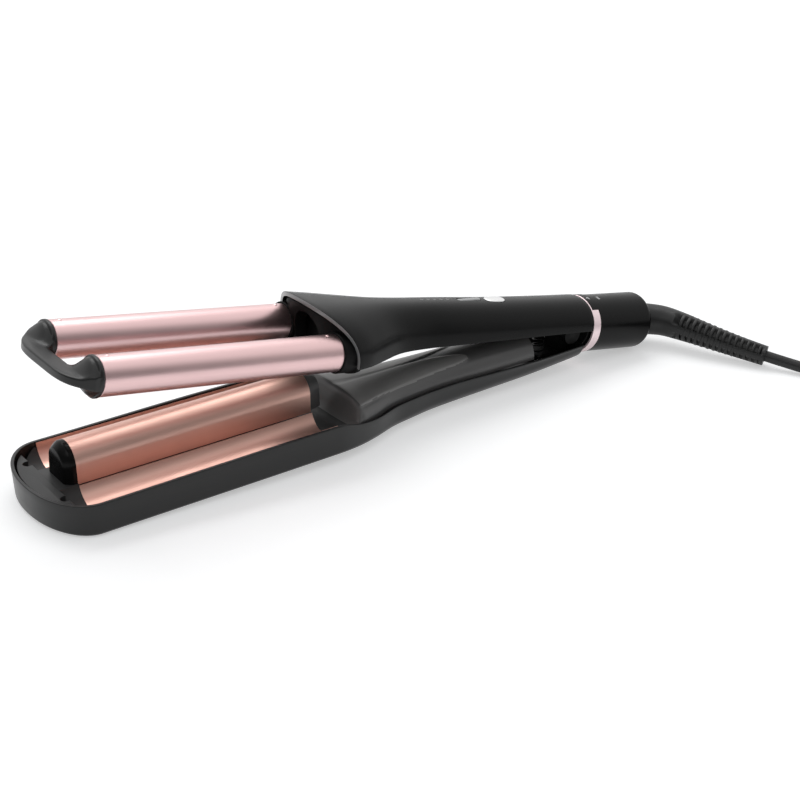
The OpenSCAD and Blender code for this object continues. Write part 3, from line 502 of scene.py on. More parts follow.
tie = makePiece("coilStrap", strapShape(strap), "ground", "rubberBlack", ["cord_tie"], "cord_black",
                crease=50)

# flat plug with two round pins; rows give the distance from the cord, half the width and half the thickness
plugSizes = {"x": -163, "y": 62, "z": 7, "length": 36, "pinRadius": 2, "pinAt": 9, "pinLength": 19}
plugRows = [[0, 4.6, 4.6], [4, 5.2, 5.2], [9, 7.5, 5.8], [15, 12.5, 6.3], [22, 16.4, 6.7], [28, 17.4, 6.8],
            [34, 17.5, 6.8], [35.4, 17.0, 6.4], [plugSizes["length"], 16, 5.4]]


def plugShape(s):
    rings = []
    for d in spread(0, 34, 17) + [35, 35.6, s["length"]]:
        half, thick = track(plugRows, d, 1), track(plugRows, d, 2)
        e = 2 + 0.9 * smoothStep(d / 22)
        ring = []
        for k in range(48):
            a = 2 * math.pi * k / 48
            c, v = math.cos(a), math.sin(a)
            ring.append((cordExit.x + s["x"] + half * math.copysign(abs(c) ** (2 / e), c), s["y"] - d,
                         s["z"] + thick * math.copysign(abs(v) ** (2 / e), v)))
        rings.append(ring)
    return loft(rings, "flat")


def pinShape(s):
    r, end = s["pinRadius"], s["pinLength"]
    points, faces = lathe([(0, r), (end - 1.2, r), (end - 0.4, 1.5), (end, 0.8)], 32)
    x, y = cordExit.x + s["x"], s["y"] - s["length"]
    return joined(*[([(x + side * s["pinAt"] + p[1], y - p[0], s["z"] + p[2]) for p in points], faces)
                    for side in (-1, 1)])


plug = makePiece("mainsPlug", plugShape(plugSizes), "ground", "plugBlack", ["plug_body"], "plug_black")
plugPins = makePiece("plugPins", pinShape(plugSizes), "ground", "pinMetal", ["plug_pins"], "steel")
cordLength = sum((b - a).length for a, b in zip(cordPath, cordPath[1:])) / 1000
print("cord laid, metres:", round(cordLength, 3))

# strain relief: a smooth root, then ribs on a core with four spines
relief = {"radii": [9, 8.4, 7.6, 6.5, 5.9, 5.5], "sides": 48, "smoothEnd": 0.34, "coreShare": 0.72, "turn": 3,
          "spineHalf": 20, "ribs": 14, "ribWidth": 2.1, "ribDepth": 1.8, "sunk": 0.9, "first": 0.385,
          "last": 0.955, "coreEnd": 0.985, "coreSoft": 0.02, "endShare": 0.62}
reliefPath = spline(reliefRoute, 8)
reliefAlong = [0.0]
for a, b in zip(reliefPath, reliefPath[1:]):
    reliefAlong.append(reliefAlong[-1] + (b - a).length)


def reliefRadius(t):
    q = min(max(t, 0), 1) * (len(relief["radii"]) - 1)
    j = min(int(q), len(relief["radii"]) - 2)
    return relief["radii"][j] + (relief["radii"][j + 1] - relief["radii"][j]) * (q - j)


def reliefShape(s):
    rings = []
    for p, d, (side, upward) in zip(reliefPath, reliefAlong, carried(reliefPath)):
        t = d / reliefAlong[-1]
        inRibs = (smoothStep((t - s["smoothEnd"]) / s["coreSoft"])
                  * smoothStep((s["coreEnd"] - t) / s["coreSoft"]))
        ring = []
        for k in range(s["sides"]):
            a = 360 * k / s["sides"]
            away = abs((a - s["turn"] + 45) % 90 - 45)
            spine = smoothStep((s["spineHalf"] - away) / 4 + 0.5)
            r = reliefRadius(t) * (1 - inRibs * (1 - s["coreShare"]) * (1 - spine))
            b = math.radians(a)
            ring.append(p + r * (side * math.cos(b) + upward * math.sin(b)))
        rings.append(ring)
    end = reliefPath[-1]
    rings.append([end + (q - end) * s["endShare"] for q in rings[-1]])  # drawn in to the cord
    return loft(rings, "flat")


def realized(tree, place, given, result):  # the instances made real and painted
    realize = addNode(tree, "GeometryNodeRealizeInstances")
    paint = addNode(tree, "GeometryNodeSetMaterial")
    wire(tree, (place, 0, realize, 0), (realize, 0, paint, 0), (given, "Material", paint, "Material"),
         (paint, 0, result, 0))


# rounded rings along a cord, smaller towards its end; the ring is drawn with a radius of 1 and scaled
def ribTree():
    tree, given, result = newTree("ribsAlongCord", "GeometryNodeTree", {
        "Curve": ("Geometry", None), "Count": ("Int", 12), "Rib Width": ("Float", 0.002),
        "Rib Depth": ("Float", 0.002), "Start Size": ("Float", 0.008), "End Size": ("Float", 0.005),
        "First": ("Float", 0.3), "Last": ("Float", 0.95), "Material": ("Material", None)},
        {"Mesh": ("Geometry", None)})
    trim = addNode(tree, "GeometryNodeTrimCurve", mode="FACTOR")
    points = addNode(tree, "GeometryNodeCurveToPoints", mode="COUNT")
    index = addNode(tree, "GeometryNodeInputIndex")
    share, widthShare, depthShare = (addNode(tree, "ShaderNodeMath", operation="DIVIDE") for i in range(3))
    size = addNode(tree, "ShaderNodeMapRange")
    ringPath = addNode(tree, "GeometryNodeCurvePrimitiveCircle", {"Resolution": 40, "Radius": 1},
                       mode="RADIUS")
    section = addNode(tree, "GeometryNodeCurvePrimitiveQuadrilateral", mode="RECTANGLE")
    corner = addNode(tree, "ShaderNodeMath", {1: 0.3}, operation="MULTIPLY")
    rounded = addNode(tree, "GeometryNodeFilletCurve", {"Count": 3}, mode="POLY")
    sweep = addNode(tree, "GeometryNodeCurveToMesh")
    place = addNode(tree, "GeometryNodeInstanceOnPoints")
    wire(tree,
         (given, "Curve", trim, 0), (given, "First", trim, 2), (given, "Last", trim, 3),
         (trim, 0, points, 0), (given, "Count", points, "Count"),
         (index, 0, share, 0), (given, "Count", share, 1), (share, 0, size, "Value"),
         (given, "Start Size", size, "To Min"), (given, "End Size", size, "To Max"),
         (given, "Rib Width", widthShare, 0), (given, "Start Size", widthShare, 1),
         (given, "Rib Depth", depthShare, 0), (given, "Start Size", depthShare, 1),
         (depthShare, 0, section, "Width"), (widthShare, 0, section, "Height"),
         (widthShare, 0, corner, 0), (corner, 0, rounded, "Radius"), (section, 0, rounded, 0),
         (ringPath, 0, sweep, 0), (rounded, 0, sweep, "Profile Curve"),
         (points, "Points", place, "Points"), (points, "Rotation", place, "Rotation"),
         (sweep, 0, place, "Instance"), (size, "Result", place, "Scale"))
    realized(tree, place, given, result)
    return tree


def routeCurve(name, points):
    data = bpy.data.curves.new(name, "CURVE")
    data.dimensions = "3D"
    line = data.splines.new("POLY")
    line.points.add(len(points) - 1)
    for spot, p in zip(line.points, points):
        spot.co = (p.x / 1000, p.y / 1000, p.z / 1000, 1)
    return newObject(name, data)


def madeByNodes(name, source, tree, values):  # the tree's inputs are set by their sockets' identifiers
    step = addStep(source, "nodes", "NODES", node_group=tree)
    for item in tree.interface.items_tree:
        if item.in_out == "INPUT" and item.name in values:
            step[item.identifier] = values[item.name]
    graph = bpy.context.evaluated_depsgraph_get()
    mesh = bpy.data.meshes.new_from_object(source.evaluated_get(graph), depsgraph=graph)
    source.modifiers.clear()
    bpy.data.objects.remove(source)
    return newObject(name, mesh)


reliefRibs = madeByNodes("reliefRibs", routeCurve("reliefLine", reliefPath), ribTree(), {
    "Count": relief["ribs"], "Rib Width": relief["ribWidth"] / 1000, "Rib Depth": relief["ribDepth"] / 1000,
    "First": relief["first"], "Last": relief["last"],
    "Start Size": (reliefRadius(relief["first"]) - relief["sunk"]) / 1000,
    "End Size": (reliefRadius(relief["last"]) - relief["sunk"]) / 1000, "Material": materials["rubberBlack"]})
makePiece("strainRelief", reliefShape(relief), "ground", "rubberBlack", ["strain_relief"], "cord_black",
          crease=40)
dressed(reliefRibs, Matrix.Identity(4), "upper_arm", "rubberBlack", [], "cord_black", 40)
print("strain relief made")

# upper arm; rows give x, half the width, the top's height, the roundness and how far the top leans forward
barrels = {"radius": 8.5, "wall": 1.2, "root": 158, "start": 165.5, "end": 282.5, "pitch": 41.8,
           "height": 7.4, "edge": 0.3}
halfPitch = barrels["pitch"] / 2
housing = {"start": -9.7, "rim": 158.5, "edge": 3.0, "wall": 2.2, "lip": 0.4, "stations": 64, "highlightBand": 0.9}
upperRows = [[housing["start"], 15.8, 17.06, 2.1, 0], [20, 15.8, 17.9, 2.15, 0], [55, 16.2, 19.2, 2.2, 0],
             [90, 16.7, 21, 2.3, 0], [108, 17.1, 21.8, 2.3, 0.5], [124, 19.4, 22.7, 2.35, 3],
             [140, 26.2, 24.1, 2.4, 7], [150, 30.5, 25, 2.45, 10], [housing["rim"], 32.7, 25.6, 2.5, 12]]
# each button stands at x with its length, width and how far it stands out
controls = {"power": (51.5, 12.4, 7.0, 0.3), "heat": (69.0, 15.0, 3.0, 0.25), "gap": 0.3, "base": 15.0,
            "skirt": 0.9, "lights": 5, "firstLight": 83.0, "lightStep": 4.2, "lightRadius": 0.9}


def upperTop(x):
    return track(upperRows, x, 2)


def upperArch(x, inset):
    return arch(x, track(upperRows, x, 1) - inset, housing["edge"], upperTop(x) - inset,
                track(upperRows, x, 3), track(upperRows, x, 4))


def housingShape(h):
    rings = [upperArch(x, 0) + upperArch(x, h["wall"])[::-1]
             for x in spread(h["start"], h["rim"] - h["lip"], h["stations"])]
    for a in spread(18, 90, 4):
        c, s = 1 - math.cos(math.radians(a)), math.sin(math.radians(a))
        x = h["rim"] - h["lip"] + h["lip"] * s
        rings.append(upperArch(x, h["lip"] * c) + upperArch(x, h["wall"] - h["lip"] * c)[::-1])
    return loft(rings)


def repaint(thing, place, extras, choose):  # choose gives a face's look, from its centre and the way it faces
    for name in extras:
        thing.data.materials.append(materials[name])
    inverse = place.inverted()
    for face in thing.data.polygons:
        face.material_index = choose(inverse @ face.center, (inverse.to_3x3() @ face.normal).normalized())


def housingLook(at, facing):  # the front edge's end face is painted light grey, a painted highlight
    return 1 if at.x > housing["rim"] - housing["highlightBand"] and facing.x > 0.7 else 0


openings = [prismZ(oblong(length + 2 * controls["gap"], width + 2 * controls["gap"]), 6, 40, x)
            for x, length, width, lift in (controls["power"], controls["heat"])]
openings += [rodZ(controls["lightRadius"] + 0.05, 10, 40, controls["firstLight"] + i * controls["lightStep"])
             for i in range(controls["lights"])]
upperHousing = makePiece("upperHousing", housingShape(housing), "upper", "satinBlack", ["upper_shell"],
                         "black_housing", edge=(0.8, 50, 3), after=openings)
repaint(upperHousing, upperPlace, ["paintedLipHighlight"], housingLook)
print("upper housing made")

# outline of the centre barrel, across the arm
ridge = {"radius": 8.8, "height": 9.6, "seam": 1.8, "spread": 0.6, "wall": 1.2}


def ridgeOutline(grow, base=ridge["seam"], n=40):
    high, r = ridge["height"], ridge["radius"] + grow
    foot = ridge["radius"] + ridge["spread"] * (high - base) / (high - ridge["seam"]) + grow
    top = [(-r * math.cos(math.pi * i / n), high + r * math.sin(math.pi * i / n)) for i in range(n + 1)]
    return [(-foot, base)] + top + [(foot, base)]


# holder that closes the mouth, with a cuff round each barrel; its rows give x, how far it hangs and its inset
holder = {"clear": 2.3, "foot": 154, "front": 157, "cuff": 9.4, "cuffEnd": 165.4, "lip": 0.5, "seat": 156,
          "hole": 8, "gap": 0.02}
holderRows = [[152, 1.5, 2], [154, 4.5, 1], [154.5, 6.5, 0.3], [156.2, 6.5, 0.1], [156.9, 6.2, 0.35],
              [157.3, 5.5, 1.1]]


def holderRing(x, drop, inset):
    inset += holder["clear"]
    low = arch(x, track(upperRows, x, 1) - inset, housing["edge"], housing["edge"] - drop, 2.8, 5)
    return upperArch(x, inset) + low[::-1]


def cuffShape(s):
    r, end, lip, bore = s["cuff"], s["cuffEnd"], s["lip"], barrels["radius"] + s["gap"]
    profile = [(s["foot"], r - 1), (s["foot"], r), (end - lip, r), (end - lip / 2, r - lip / 2),
               (end, r - lip), (end, bore), (s["seat"], bore), (s["seat"], s["hole"]), (s["foot"], s["hole"])]
    return shifted(lathe(profile, 80, closed=True), halfPitch, barrels["height"])


housingWall = loft([upperArch(x, -2) + upperArch(x, holder["clear"])[::-1] for x in (147, 151, 155, 158.6)])
barrelHoles = [rodX(barrels["radius"], barrels["root"], 200, s * halfPitch, barrels["height"], 80)
               for s in (1, -1)]
makePiece("barrelHolder", loft([holderRing(*row) for row in holderRows]), "upper", "holderBlack",
          ["barrel_collar"], "heat_proof_black",
          adds=[cuffShape(holder), mirrored(cuffShape(holder)),
                prismX(ridgeOutline(1.9, housing["edge"] - 4), holder["foot"] + 0.4, holder["front"])],
          cuts=[housingWall, prismX(ridgeOutline(1.2, -20), holder["front"], 180)] + barrelHoles, crease=30)


def barrelShape(b):
    r, w = b["radius"], b["wall"]
    profile = [(b["root"], r - w), (b["root"], r)]
    profile += [(x, r) for x in spread(b["start"], b["end"] - b["edge"], 12)]
    profile += [(b["end"], r - b["edge"]), (b["end"], r - w)]
    return shifted(lathe(profile, 112, closed=True), halfPitch, b["height"])


for name, shape, node in (("barrelNear", barrelShape(barrels), "barrel_left"),
                          ("barrelFar", mirrored(barrelShape(barrels)), "barrel_right")):
    makePiece(name, shape, "upper", "roseMetal", [node], "rose_barrel")


# small repeated parts: a lathed head set on points
def headTree():
    tree, given, result = newTree("headsOnPoints", "GeometryNodeTree", {
        "Points": ("Geometry", None), "Head": ("Object", None), "Material": ("Material", None),
        "Size": ("Float", 1)}, {"Mesh": ("Geometry", None)})
    head = addNode(tree, "GeometryNodeObjectInfo")
    place = addNode(tree, "GeometryNodeInstanceOnPoints")
    wire(tree, (given, "Head", head, "Object"), (given, "Points", place, "Points"),
         (head, "Geometry", place, "Instance"), (given, "Size", place, "Scale"))
    realized(tree, place, given, result)
    return tree


headsTree = headTree()


def makeHeads(name, headShape, places, home, look, nodes, slot):
    head = newObject("head", meshOf("head", headShape))
    cloud = bpy.data.meshes.new("spots")
    cloud.from_pydata(places, [], [])
    thing = madeByNodes(name, newObject("spots", cloud), headsTree,
                        {"Head": head, "Material": materials[look], "Size": 1.0})
    bpy.data.objects.remove(head)
    return dressed(thing, *homes[home], look, nodes, slot)


rivet = {"radius": 0.95, "height": 0.28, "inset": 4.5, "stem": 1.4}


def rivetShape(s):
    r, h, stem = s["radius"], s["height"], s["stem"]
    return standingLathe([(-stem, 0), (-stem, r), (0, r), (h * 0.6, r * 0.8), (h, r * 0.4), (h * 1.05, 0)])


rivetPlaces = [(x, s * halfPitch, barrels["height"] + barrels["radius"])
               for x in (barrels["start"] + rivet["inset"], barrels["end"] - rivet["inset"]) for s in (-1, 1)]
makeHeads("barrelRivets", rivetShape(rivet), rivetPlaces, "upper", "roseMetal", ["barrel_rivets"],
          "rose_barrel")
print("barrels made")

# tip: a flange on each barrel end, flared into a crescent that joins the two
tip = {"reach": 13.9, "half": 29.3, "bar": 8.4, "low": 4.5, "high": 9.0, "roundness": 4.6, "soft": 0.4,
       "gap": 0.2, "notchHalf": 9, "notchSoft": 5, "edge": 0.5, "blend": 1.5, "flangeRadius": 8.8,
       "flange": 2.0, "flareRadius": 7.9, "flareFoot": 11.0, "flareLength": 8.0, "voxel": 0.3, "plug": 7.2}


def tipFront(y):
    return (barrels["end"] + tip["reach"]
            - (tip["reach"] - 2 * tip["flange"]) * (abs(y) / tip["half"]) ** tip["roundness"])


def tipBack(y):
    notch = 1 - smoothStep((abs(y) - tip["notchHalf"]) / tip["notchSoft"])
    return barrels["end"] + tip["gap"] + (tip["reach"] - tip["bar"]) * notch


def flareHeight(x, y):
    across = max(1 - ((abs(y) - halfPitch) / tip["flareFoot"]) ** 2, 0) ** 1.2
    ahead = (x - barrels["end"] - tip["flange"]) / tip["flareLength"]
    return tip["flareRadius"] * across * (1 - smoothStep(ahead))


def blended(a, b):  # the larger of two heights, with the corner between them rounded off
    return (a + b + math.sqrt((a - b) ** 2 + tip["blend"])) / 2


def tipRing(y):
    top, low = [], []
    for q in spread(0, 1, 30):
        x = tipBack(y) + (tipFront(y) - tipBack(y)) * q
        edge = tip["edge"] * abs(2 * q - 1) ** 10
        flare = flareHeight(x, y)
        top.append((x, y, blended(tip["high"] - tip["soft"], barrels["height"] + flare) - edge))
        low.append((x, y, -blended(-tip["low"] - tip["soft"], flare - barrels["height"]) + edge))
    return top + low[::-1]


def flangeShape(s):
    x, r = barrels["end"], s["flangeRadius"]
    profile = [(x + 0.1, r - 0.1), (x + 0.35, r), (x + s["flange"] - 0.3, r), (x + s["flange"], r - 0.3)]
    return shifted(lathe(profile, 72), halfPitch, barrels["height"])


tipShape = loft([tipRing(y) for y in spread(-tip["half"], tip["half"], 120)])
tipPiece = newObject("tipBridge", meshOf("tipBridge", tipShape))
for flange in (flangeShape(tip), mirrored(flangeShape(tip))):
    combine(tipPiece, flange, "UNION")
addStep(tipPiece, "skin", "REMESH", mode="VOXEL", voxel_size=tip["voxel"])
addStep(tipPiece, "blend", "SMOOTH", factor=0.5, iterations=2)
settled(tipPiece)
# plugs that close the barrels' ends
barrelPlugs = [rodX(tip["plug"], barrels["end"] - 3, barrels["end"] + 0.6, s * halfPitch, barrels["height"])
               for s in (-1, 1)]
plugMesh = meshOf("barrelPlugs", joined(*barrelPlugs))
work = bmesh.new()
work.from_mesh(tipPiece.data)
work.from_mesh(plugMesh)
work.to_mesh(tipPiece.data)
work.free()
bpy.data.meshes.remove(plugMesh)
dressed(tipPiece, upperPlace, "upper_arm", "tipBlack", ["tip_bridge"], "heat_proof_black", 50)
print("tip made")


# buttons: a skirt under the housing, then the cap with a rounded top; rows give how far each ring is grown
def buttonShape(x, length, width, lift):
    top, base, skirt = upperTop(x) + lift, controls["base"], controls["skirt"]
    rows = ((skirt, base), (skirt, base + skirt), (0, base + skirt), (0, top - 0.5), (-0.14, top - 0.2),
            (-0.45, top - 0.05), (-0.9, top), (-1.2, top + 0.03))
    return loft([[(x + u, v, z) for u, v in oblong(length + 2 * grow, width + 2 * grow)]
                 for grow, z in rows], "flat")


makePiece("powerButton", buttonShape(*controls["power"]), "upper", "silverButton", ["power_button"],
          "silver_button", body="power_button", crease=40)
makePiece("heatButton", buttonShape(*controls["heat"]), "upper", "lightMark", ["heat_button"], "light_grey",
          body="heat_button", crease=40)


# tail: lock sleeve with its tongue, trim ring
def sleeveShape(s):
    front, end, r, edge = s["front"], -s["length"], s["radius"], s["edge"]
    width, seat, hollow = s["ringWidth"], s["ringSeat"], r - s["wall"]
    bore, mouth = s["spigot"] + s["fit"], s["spigot"] + s["mouthGap"]
    profile = [(front, bore), (front, seat), (-width, seat), (-width, r - 0.15), (-width - 0.15, r)]
    profile += [(x, r) for x in spread(-8, end + edge + 0.5, 8)]
    profile += [(end + edge * (1 - math.sin(math.radians(a))), r - edge * (1 - math.cos(math.radians(a))))
                for a in spread(0, 90, 10)]
    profile += [(end, mouth), (end + 6, mouth), (end + 8, hollow), (-12, hollow), (-10, bore)]  # back inside
    return lathe(profile, 128, closed=True)


def bent(half, steps, section, middle=0):  # section gives its points (x, radius) at an angle round the tail
    rings = []
    for a in spread(-half, half, steps):
        b = math.radians(middle + a)
        rings.append([(x, r * math.sin(b), r * math.cos(b)) for x, r in section(a)])
    return loft(rings, "flat")


def sector(x0, x1, r0, r1, half, corner=0.25):
    section = [(x0, r0), (x1, r0), (x1, r1 - corner), (x1 - corner, r1), (x0 + corner, r1), (x0, r1 - corner)]
    return bent(half, 40, lambda a: section)


tongue = {"half": 43, "front": -1.1, "bottom": 13.9, "top": 15.5}
tongueShape = sector(-tailSizes["ringWidth"] - 0.4, tongue["front"], tongue["bottom"], tongue["top"],
                     tongue["half"])
makePiece("lockSleeve", joined(sleeveShape(tailSizes), tongueShape), "tail", "satinBlack", ["lock_sleeve"],
          "black_housing", crease=35)
trim = {"back": -tailSizes["ringWidth"], "front": -0.3, "radius": 15.4, "edge": 0.2, "tongueGap": 0.3}


def ringShape(s, seat):
    back, front, r, edge = s["back"], s["front"], s["radius"], s["edge"]
    return lathe([(back, seat), (back, r - edge), (back + edge, r), (front - edge, r), (front, r - edge),
                  (front, seat)], 128, closed=True)


makePiece("trimRing", ringShape(trim, tailSizes["ringSeat"]), "tail", "pinkTrim", ["trim_ring"], "pink_trim",
          cuts=[sector(-7, -0.95, 10, 20, tongue["half"] + trim["tongueGap"], corner=0)], crease=35)
# printed marks of the lock: a pointer on the tongue and a bar on the sleeve, each with its start and length
lockPrint = {"angle": 11, "half": 5, "pointer": (-4.7, 2.4), "bar": (-12.6, 1.5), "proud": 0.05, "sunk": 0.3}


def printedMark(at, length, r, s, pointed):
    def section(a):
        end = at + length * (1 - 0.97 * abs(a) / s["half"] if pointed else 1)
        return [(at, r - s["sunk"]), (end, r - s["sunk"]), (end, r + s["proud"]), (at, r + s["proud"])]
    return bent(s["half"], 12, section, s["angle"])


makePiece("lockMarks", joined(printedMark(*lockPrint["pointer"], tongue["top"], lockPrint, True),
                              printedMark(*lockPrint["bar"], tailSizes["radius"], lockPrint, False)),
          "tail", "lightMark", [], "light_grey")
print("upper arm made")

# lower arm; its rows give x, half the width, the heights of the rim and the floor, and the corner's radius
tray = {"start": -5.8, "half": 32.4, "rim": 4.1, "drop": 11.2, "wall": 1.6, "floor": 2.2, "nose": 20.4,
        "draft": 0.8, "noseShape": 2.1, "rimRound": 0.45, "corner": 2.2, "nosePull": 5}
mouthRow = [tray["half"], tray["rim"], -tray["drop"], tray["corner"]]
lowerRows = [[tray["start"], 15, -6, -14.8, 8], [28, 15.3, -6, -16.2, 7.6], [55, 15.7, -5, -16.4, 7.4],
             [80, 16.2, -3.6, -16.4, 7.2], [98, 17.4, -3, -16, 6.8], [110, 19, -2.6, -15.6, 6],
             [124, 21.6, -2.2, -14.8, 5], [140, 27.4, -1.4, -13.4, 4], [152, 30.6, 0.6, -12.3, 3],
             [barrels["start"]] + mouthRow, [barrels["end"]] + mouthRow]
lowerStations = (spread(tray["start"], 98, 22)[:-1] + spread(98, barrels["start"], 27)
                 + spread(175, barrels["end"], 11))
noseAngles = spread(4, 88.5, 22)


def nosePoint(a, inset):
    s, c = math.sin(math.radians(a)), math.cos(math.radians(a))
    return (barrels["end"] + (tray["nose"] - inset) * s ** (2 / tray["noseShape"]),
            (tray["half"] - inset) * c ** (2 / tray["noseShape"]))


def traySide(inset, share):  # one side from the tail to the nose: x, y and the station that gives the heights
    points = []
    for x in lowerStations:
        points.append((max(x, tray["start"] + inset + share * 2),
                       track(lowerRows, x, 1) - inset - share * track(lowerRows, x, 4), x))
    for a in noseAngles:
        drawnIn = share * (tray["corner"] + tray["nosePull"] * math.sin(math.radians(a)) ** 2)
        points.append((*nosePoint(a, inset + drawnIn), barrels["end"]))
    return points


def trayRing(inset, share, height):
    side = [(x, y, height(station)) for x, y, station in traySide(inset, share)]
    return [(x, -y, z) for x, y, z in side] + side[::-1]


def trayLow(inset, turn, lift=0):
    a = math.radians(turn)
    return trayRing(inset, 1 - math.sin(a),
                    lambda x: track(lowerRows, x, 3) + (1 - math.cos(a)) * track(lowerRows, x, 4) + lift)


def trayHigh(inset, share):  # share of the way from the corner's end to the rim
    def height(x):
        knee = track(lowerRows, x, 3) + track(lowerRows, x, 4)
        return knee + (track(lowerRows, x, 2) - knee) * share
    return trayRing(inset, 0, height)


def trayRim(inset, sunk):
    return trayRing(inset, 0, lambda x: track(lowerRows, x, 2) - sunk)


def trayShape(t):
    rings = [trayLow(t["draft"], a) for a in spread(0, 80, 9)]
    rings += [trayHigh(t["draft"] * (1 - q), q) for q in (0, 0.35, 0.7)]
    r = t["rimRound"]
    turns = [(math.cos(math.radians(a)), math.sin(math.radians(a))) for a in spread(0, 90, 4)]
    rings += [trayRim(r * (1 - c), r * (1 - s)) for c, s in turns]
    rings += [trayRim(t["wall"] - r * (1 - c), r * (1 - s)) for c, s in turns[::-1]]
    rings.append(trayLow(t["draft"] + t["wall"], 90))
    rings += [trayLow(t["draft"] + t["wall"], a, t["floor"]) for a in (70, 45, 20, 0)]
    return loft(rings)


screw = {"head": 2.4, "gap": 0.1, "fromEnds": 12, "across": 18, "z": -10.2, "bottom": -12.5}
screwPlaces = [(x, s * screw["across"], screw["z"])
               for x in (barrels["start"] + screw["fromEnds"], barrels["end"] - screw["fromEnds"])
               for s in (-1, 1)]
makePiece("lowerHousing", trayShape(tray), "lower", "trayBlack", ["lower_shell"], "black_housing",
          after=[rodZ(screw["head"] + screw["gap"], screw["bottom"], z, x, y) for x, y, z in screwPlaces],
          crease=40)
screwHead = standingLathe([(2.2, 0), (2.2, 1.15), (0, 1.15), (0, 2.35), (-0.55, 2.35), (-0.8, 2.1),
                           (-0.85, 0.7), (-0.45, 0.5), (-0.45, 0)])
makeHeads("trayScrews", screwHead, screwPlaces, "lower", "screwSteel", ["lower_screws"], "steel")
print("tray made")

# cover of the lower grip: a crowned skin that opens into a bowl; rows give x, half the width, base, top and
# roundness, and in the bowl also how far the inner skin stands in at its sides
cover = {"start": 28, "lip": 147.0, "wall": 1.6, "leafStart": 68.0, "leafRise": 0.7, "leafSoft": 1.3,
         "floorStart": 152.5, "lipRise": 0.6}
crownRows = [[cover["start"], 12.1, -6.6, 5, 2.3], [60, 12.6, -5.8, 5.4, 2.3], [90, 13.3, -4.6, 5.8, 2.3],
             [108, 15.2, -4.2, 5.7, 2.3], [124, 18, -3.8, 5.8, 2.4], [138, 23.4, -3.4, 6.3, 2.6],
             [cover["lip"], 26.8, -2.8, 7.0, 2.8]]
bowlRows = [[147.8, 26.6, -2.6, 6.3, 2.8, 1.6], [149.5, 27.2, -1, 3, 2.6, 0.6],
            [153, 27.8, -1.5, -4, 2.3, -0.8], [158, 28.2, -0.6, -5.8, 2.1, -0.8],
            [164.9, 28.6, 1.2, -6, 2, -0.8]]
bowlStations = (147.8, 148.6, 149.5, 151, 153, 155.5, 158, 161, 164.9)
# raised leaf: x, and its inner and outer edge to each side
leafRows = [[cover["leafStart"], 7.4, 7.6], [72, 5.6, 9.0], [78, 4.0, 9.8], [92, 1.2, 10.8], [108, 0, 12.6],
            [128, 0, 15.8], [138, 0, 19], [cover["lip"], 0, 22.5]]


def crownRing(x, t):
    ring = arch(x, track(crownRows, x, 1) - t, track(crownRows, x, 2) - t / 2, track(crownRows, x, 3) - t,
                track(crownRows, x, 4), n=96)
    if x <= cover["leafStart"]:
        return ring
    inside, outside, soft = track(leafRows, x, 1), track(leafRows, x, 2), cover["leafSoft"]
    rise = cover["leafRise"] * smoothStep((x - cover["leafStart"]) / 4)
    return [(p[0], p[1], p[2] + rise * smoothStep((outside - abs(p[1])) / soft + 0.5)
             * smoothStep((abs(p[1]) - inside) / soft + 0.5)) for p in ring]


def bowlRing(x, t):
    half, base, top, e, inwards = (track(bowlRows, x, c) for c in range(1, 6))
    rise = cover["lipRise"] if x == bowlStations[0] else 0
    return arch(x, half - t / cover["wall"] * inwards, base - t, top - t + rise, e, n=96)


def coverShape(c):
    rings = [crownRing(x, 0) + crownRing(x, c["wall"])[::-1] for x in spread(c["start"], c["lip"] - 0.6, 90)]
    return loft(rings + [bowlRing(x, 0) + bowlRing(x, c["wall"])[::-1] for x in bowlStations])


def coverLook(at, facing):  # the bowl's floor, the raised leaf painted lighter as a painted highlight, or the skin painted grey as a painted reflection
    if at.x > cover["floorStart"]:
        return 1
    onLeaf = (cover["leafStart"] + 2 < at.x < cover["lip"] and at.z > 2
              and track(leafRows, at.x, 1) < abs(at.y) < track(leafRows, at.x, 2))
    return 2 if onLeaf else 0


gripCover = makePiece("gripCover", coverShape(cover), "lower", "coverReflectionGrey", ["lower_inner_cover"],
                      "black_housing", crease=60)
repaint(gripCover, lowerPlace, ["innerBlack", "leafHighlightGrey"], coverLook)

# centre barrel: a tube between two outlines, with open ends
barrelRings = [[(x, y, z) for y, z in ridgeOutline(grow)]
               for x, grow in ((barrels["start"], 0), (barrels["end"], 0),
                               (barrels["end"], -ridge["wall"]), (barrels["start"], -ridge["wall"]))]
makePiece("centreBarrel", loft(barrelRings, closed=True), "lower", "copperMetal", ["centre_barrel"],
          "copper_plate", crease=40)
trough = {"radius": 10.4, "wall": 1.0, "y": 20.0, "z": 5.5, "underRim": 0.3}


def trayWall(z):  # the tray's inner side at a height
    lean = tray["draft"] * (tray["rim"] - z) / (tray["rim"] + tray["drop"] - tray["corner"])
    return tray["half"] - tray["wall"] - 0.1 - lean


def troughShape(t, n=56):
    inner, outer = [], []
    rim, r = tray["rim"] - t["underRim"], t["radius"] + t["wall"]
    first = math.pi - math.asin((ridge["seam"] - t["z"]) / t["radius"])
    last = 2 * math.pi + math.asin((rim - t["z"]) / t["radius"])
    for i in range(n + 1):
        a = first + (last - first) * i / n
        y, z = t["y"] + t["radius"] * math.cos(a), t["z"] + t["radius"] * math.sin(a)
        inner.append((min(y, trayWall(z) - 0.35), z))
        y, z = t["y"] + r * math.cos(a), t["z"] + r * math.sin(a)
        outer.append((min(max(y, t["y"] - r), trayWall(z)), min(z, rim)))
    section = inner + outer[::-1]
    return loft([[(x, y, z) for y, z in section] for x in spread(barrels["start"], barrels["end"], 2)])


for name, shape, node in (("troughNear", troughShape(trough), "trough_left"),
                          ("troughFar", mirrored(troughShape(trough)), "trough_right")):
    makePiece(name, shape, "lower", "copperMetal", [node], "copper_plate", crease=40)

